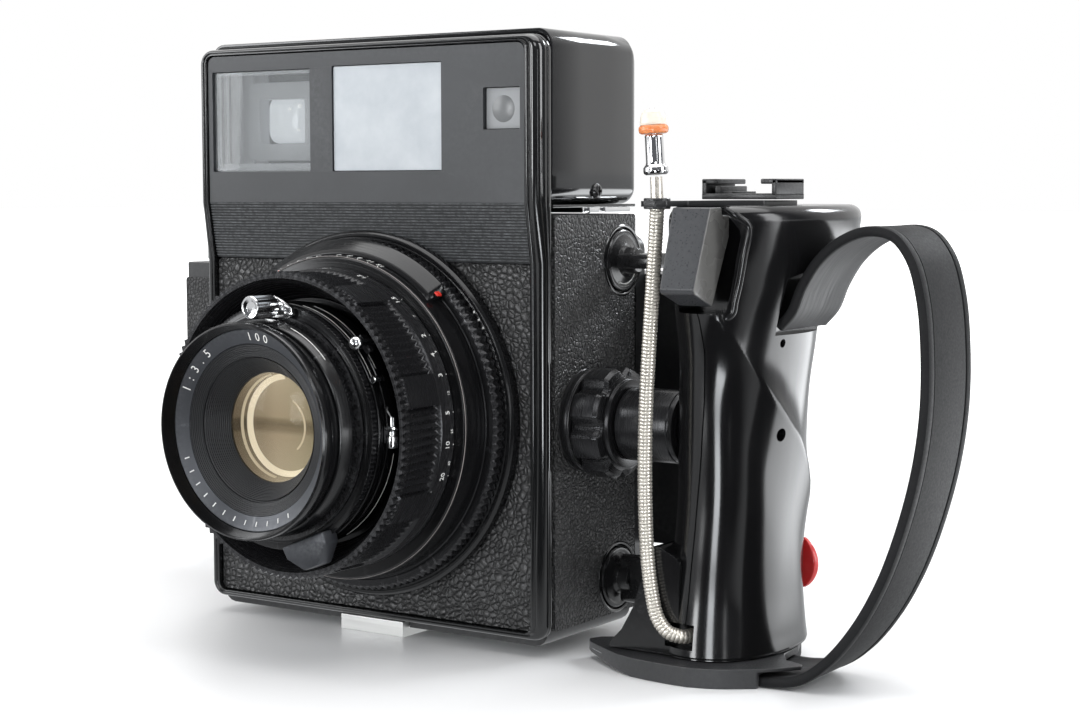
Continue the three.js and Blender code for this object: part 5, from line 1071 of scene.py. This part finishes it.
    # foot plate with its pointed fin and stepped edge
    out = [(66.2, 12.2), (67.0, 10.8), (68.4, 9.4), (74, 5.6), (81, 1.2), (86.6, -0.9), (92, -1.9), (98, -2.5), (104, -2.6), (109, -1.3), (113, 0.6), (119, 5.0), (124, 10.0), (127.2, 14.2), (126.6, 16.2), (121, 18.5), (117.6, 24), (116.5, 34), (111.5, 46), (106, 51), (90, 51), (84, 46), (82.4, 24), (74, 20.4), (67.6, 15.6)]
    b1 = obj_from("f1", *prism(out, [], "z", 0.0, 5.0), "foot_black")
    for c in (boxv(112.5, 130, 6.6, 60, -1, 3.2), boxv(119.4, 130, -5, 60, -1, 4.05), prism([(60, -1), (86.6, -1), (86.6, 0), (66, 2.4), (60, 3.1)], [], "y", -10, 22)): boolean(b1, cutter(*c))
    bevel(b1, 0.3, 3, 26); apply_mods(b1, 12)
    b1.name = "grip_foot"; place(b1, "body", "grip_base")
    # thin steel strip along the fin's front edge: worn metal and a painted highlight along the edge
    v, f = tube([(66.7, 11.6, 3.3), (68.2, 9.75, 3.25), (71, 7.75, 3.3), (74.0, 5.75, 3.25)], 0.16, 8)
    place(obj_from("foot_worn_edge_highlight", v, f, "steel"), "body", ())

    # bracket sleeve and fluted clamp knob
    turned("bracket_sleeve", [(3.3, 73.4), (9.3, 73.4), (9.65, 73.75), (9.65, 88.8), (9.4, 89.1), (9.4, 90.4), (3.3, 90.4)], "knob_turned", "body", "grip_bracket", 96, "x", (22, 61.6), r=0.1)
    # flat black disc instead of a hole: painted shade for the hole's inside
    v, f, _ = spin([(0.0, 12.2), (1.15, 12.2), (1.25, 12.32), (1.25, 12.6), (0.0, 12.6)], 24, "y", (80.4, 63.6), False)
    place(obj_from("sleeve_pin_hole_painted_shade", v, f, "black_flat"), "body", ())
    def scallop(a, r, h):
        if r > 12.2:
            k = max(0.0, cos(rad(8 * a)))
            r -= 1.9 * k ** 1.4 * min(1.0, (r - 12.2) / 1.6)
        return r, h
    pr = fillet([(0.0, 62.3), (13.2, 62.3), (14.2, 62.7), (14.9, 63.6), (14.9, 69.8), (14.2, 71.0), (12.6, 71.7), (11.7, 71.8), (11.6, 72.9), (10.0, 73.1), (3.0, 73.15), (0.0, 73.15)], 0.25, 3, False)
    v, f, _ = spin(pr, 288, "x", (22, 61.6), False, scallop)
    place(obj_from("clamp_knob_fluted", v, f, "knob_turned", angle=28), "grip_knob", "grip_lock_knob")
    turned("grip_boss_ring", [(8.0, 57.2), (13.9, 57.2), (13.9, 58.9), (13.5, 59.2), (13.5, 59.7), (13.9, 60.0), (13.9, 61.4), (13.3, 62.05), (8.0, 62.05)], "knob_turned", "body", (), 120, "x", (22, 61.6), r=0.12)

    # accessory shoe: base and two folded rails
    z = 120.7
    parts = []
    def bx(*a, b=0.22):
        q = obj_from("q", *boxv(*a), "enamel_satin"); bevel(q, b, 2); apply_mods(q); parts.append(q)
    bx(92.8, 114.3, 24, 39.5, z, z + 1.5)
    for s_ in (-1, 1):
        e = 92.8 if s_ < 0 else 114.3
        bx(*sorted((e, e - s_ * 1.5)), 24, 39.5, z + 0.8, z + 5.2, b=0.35)
        bx(*sorted((e, e - s_ * 4.6)), 24, 39.5, z + 3.9, z + 5.2, b=0.3)
    bx(96.5, 98.3, 24.4, 38.5, z + 1.4, z + 3.4); bx(98.1, 101.2, 25.0, 38.0, z + 1.45, z + 2.0, b=0.15)
    place(join_objs("accessory_shoe_piece", parts), "body", "accessory_shoe")
    o = fillet([(87.6, 2.2), (89.6, 0.2), (93, 0.2), (95, 2.4), (96.5, 10.5), (112, 22), (112, 41), (95, 41), (90, 16), (87.6, 7)], 1.2, 4)
    hole = [(91.3 + 2.1 * cos(rad(a)), 4 + 2.1 * sin(rad(a))) for a in range(0, -360, -12)]
    v, f = prism(o, [hole], "z", 118.98, 120.4)
    c1 = obj_from("c1", v, f, "enamel_satin"); bevel(c1, 0.2, 2); apply_mods(c1)
    c2 = obj_from("c2", *spin([(2.05, 118.4), (3.2, 118.4), (3.35, 118.6), (3.35, 120.9), (3.2, 121.1), (2.05, 121.1)], 40, "z", (91.3, 4.0))[:2], "enamel_satin")
    place(join_objs("cable_clip_piece", [c1, c2]), "body", "cable_clip")

def seam_x(z):
    T = [(5, 99.0), (11, 99.3), (25, 100.0), (40, 101.0), (58, 102.4), (71, 103.1), (83, 103.4), (90, 102.7), (93, 101.9)]
    for (a, xa), (b, xb) in zip(T, T[1:]):
        if a <= z <= b: return lerp(xa, xb, smooth01((z - a) / (b - a)) * 0.35 + 0.65 * (z - a) / (b - a))
    return T[-1][1]

def catmull2(pts, n):
    return [(p.x, p.y) for p in catmull([(a, b, 0) for a, b in pts], n)]
build_grip()

# ------------------------------------------------------------------ cable release, strap, lever
def build_soft():
    pts = [(91.0, 4, 126.4), (91.2, 4, 122.5), (91.3, 4, 119.9), (90.4, 4, 104), (89.2, 4, 86), (88.3, 4, 70), (87.95, 4, 56), (88.1, 4, 42), (88.8, 4, 30), (90.2, 3.8, 21), (92.2, 3.4, 15), (95.2, 3.8, 11.6), (98.0, 5.8, 10.5), (99.2, 8.8, 10.4)]
    dense = catmull(pts, 1400)
    # even steps of arc length, six to a turn of the winding
    acc = [0.0]
    for a, b in zip(dense, dense[1:]): acc.append(acc[-1] + (b - a).length)
    step, out, j = 0.18, [], 0
    n = int(acc[-1] / step)
    for k in range(n + 1):
        s_ = min(k * step, acc[-1] - 1e-6)
        while acc[j + 1] < s_: j += 1
        t = (s_ - acc[j]) / max(1e-9, acc[j + 1] - acc[j]); out.append(dense[j].lerp(dense[j + 1], t))
    def coil(k):
        s_ = k * step
        base = 1.0 if s_ > 6.6 else lerp(0.80, 0.86, s_ / 6.6)
        ph = (k % 5) / 5.0
        return base * (1.0, 0.985, 0.93, 0.93, 0.985)[k % 5] if s_ > 6.6 else base
    v, f = tube(out, 1.9, 16, coil)
    # every fifth band takes the darker material, painted as shade in the winding's gap
    shade_gap = [1 if (len(q) == 4 and (min(q) // 16) % 5 in (2,) and min(q) // 16 * step > 6.6) else 0 for q in f]
    place(obj_from("cable_winding", v, f, ["sheath", "sheath_gap_painted_shade"], shade_gap, angle=70), "body", "cable_sheath")
    ca, sa = cos(rad(-4)), sin(rad(-4))
    def tilt(v): return [(91.0 + (x - 91.0) * ca + (z - 127) * sa, y, 127 - (x - 91.0) * sa + (z - 127) * ca) for x, y, z in v]
    def tz(name, prof, mat, body, node, seg=64, mod=None, r=0.08):
        v, f, _ = spin(fillet(prof, r, 2) if r else prof, seg, "z", (91.0, 4.0), True, mod)
        return place(obj_from(name, tilt(v), f, mat), body, node)
    tz("cable_barrel_piece", [(1.0, 126.9), (2.6, 126.9), (3.0, 127.2), (3.15, 127.8), (3.1, 128.7), (2.5, 129.4), (2.35, 130.0), (2.3, 136.2), (2.35, 136.4), (2.2, 136.9), (1.0, 136.9)], "chrome", "body", "cable_barrel")
    tz("cable_orange_ring", [(1.0, 137.2), (3.1, 137.1), (3.6, 137.4), (3.78, 138.1), (3.7, 138.8), (3.3, 139.2), (1.0, 139.2)], "orange_plastic", "body", "cable_tip_ring", r=0.15)
    tz("cable_tip_cap", [(0.95, 139.25), (3.2, 139.25), (3.35, 139.7), (3.25, 141.0), (2.7, 142.4), (1.9, 143.1), (0.95, 143.2)], "pale_plastic", "body", "cable_tip_ring", r=0.2)
    v, f, _ = spin([(0.0, 128.5), (0.62, 128.5), (0.65, 128.7), (0.65, 143.4), (0.5, 143.6), (0.0, 143.6)], 24, "z", (91.0, 4.0), False)
    place(obj_from("cable_plunger_piece", tilt(v), f, "chrome"), "plunger", "cable_plunger")

    line = [(115.8, 88.6, 22), (119.4, 92.6, 22), (122.2, 99.0, 22), (126.6, 105.6, 22), (132.6, 110.4, 21.8), (139.6, 112.9, 21.6), (146.6, 111.9, 21.2), (151.8, 106.4, 20.4),
            (155.0, 97.0, 19.6), (156.9, 84, 18.2), (157.5, 70, 16.6), (156.4, 56, 14.8), (153.6, 42, 12.8), (149.4, 28.8, 11.0), (143.6, 17.2, 9.4), (136.6, 8.2, 8.2), (129.6, 3.0, 7.4), (122, 1.5, 7.0), (114, 1.5, 7.0)]
    C = catmull([(x, y, z) for x, z, y in line], 190)
    prof = [(0.0, 0.0), (0.08, 0.7), (0.35, 1.12), (0.9, 1.3), (3.05, 1.3), (3.2, 1.22), (3.35, 0.88), (3.7, 0.88), (3.85, 1.14), (4.2, 1.2), (22.8, 1.2), (23.15, 1.14), (23.3, 0.88), (23.65, 0.88), (23.8, 1.22), (23.95, 1.3),
            (26.1, 1.3), (26.65, 1.12), (26.92, 0.7), (27.0, 0.0), (26.92, -0.7), (26.65, -1.12), (26.1, -1.3), (24.4, -1.3), (24.1, -1.18), (2.9, -1.18), (2.6, -1.3), (0.9, -1.3), (0.35, -1.12), (0.08, -0.7)]
    loops = []
    for k, p in enumerate(C):
        t = (C[min(k + 1, len(C) - 1)] - C[max(k - 1, 0)]); l = math.hypot(t.x, t.z); nx, nz = -t.z / l, t.x / l
        lim = 1.0 if p.z > 1.45 else 1.0
        loops.append([(p.x + nx * d, p.y + w, max(0.02, p.z + nz * d * lim)) for w, d in prof])
    v, f = loops_mesh(loops)
    m = len(prof)
    mi = []
    for k in range(len(C) - 1):
        for i in range(m): mi.append(1 if 22 <= i <= 26 else 0)
    mi += [0, 0]
    place(obj_from("hand_strap_band", v, f, ["strap_rubber", "strap_inner"], mi, angle=32), "body", "hand_strap")

    # leaf-shaped thumb lever behind the foot of the grip
    o = fillet([(104.6, 53.2), (108.6, 50.9), (113.2, 49.5), (114.1, 50.9), (109.6, 53.0), (105.4, 54.6)], 0.45, 3)
    loops = []
    for k in range(25):
        t = k / 24; z = lerp(16.8, 30.2, t)
        w = (sin(pi * min(1.0, max(0.0, (t * 0.94 + 0.03)))) ** 0.55)
        loops.append([(105.6 + (x - 105.6) * (0.28 + 0.72 * w), 53.6 + (y - 53.6) * (0.28 + 0.72 * w), z) for x, y in o])
    v, f = loops_mesh(loops)
    place(obj_from("rear_lever_leaf", v, f, "red_plastic", angle=40), "rear_lever", "grip_rear_lever")
build_soft()
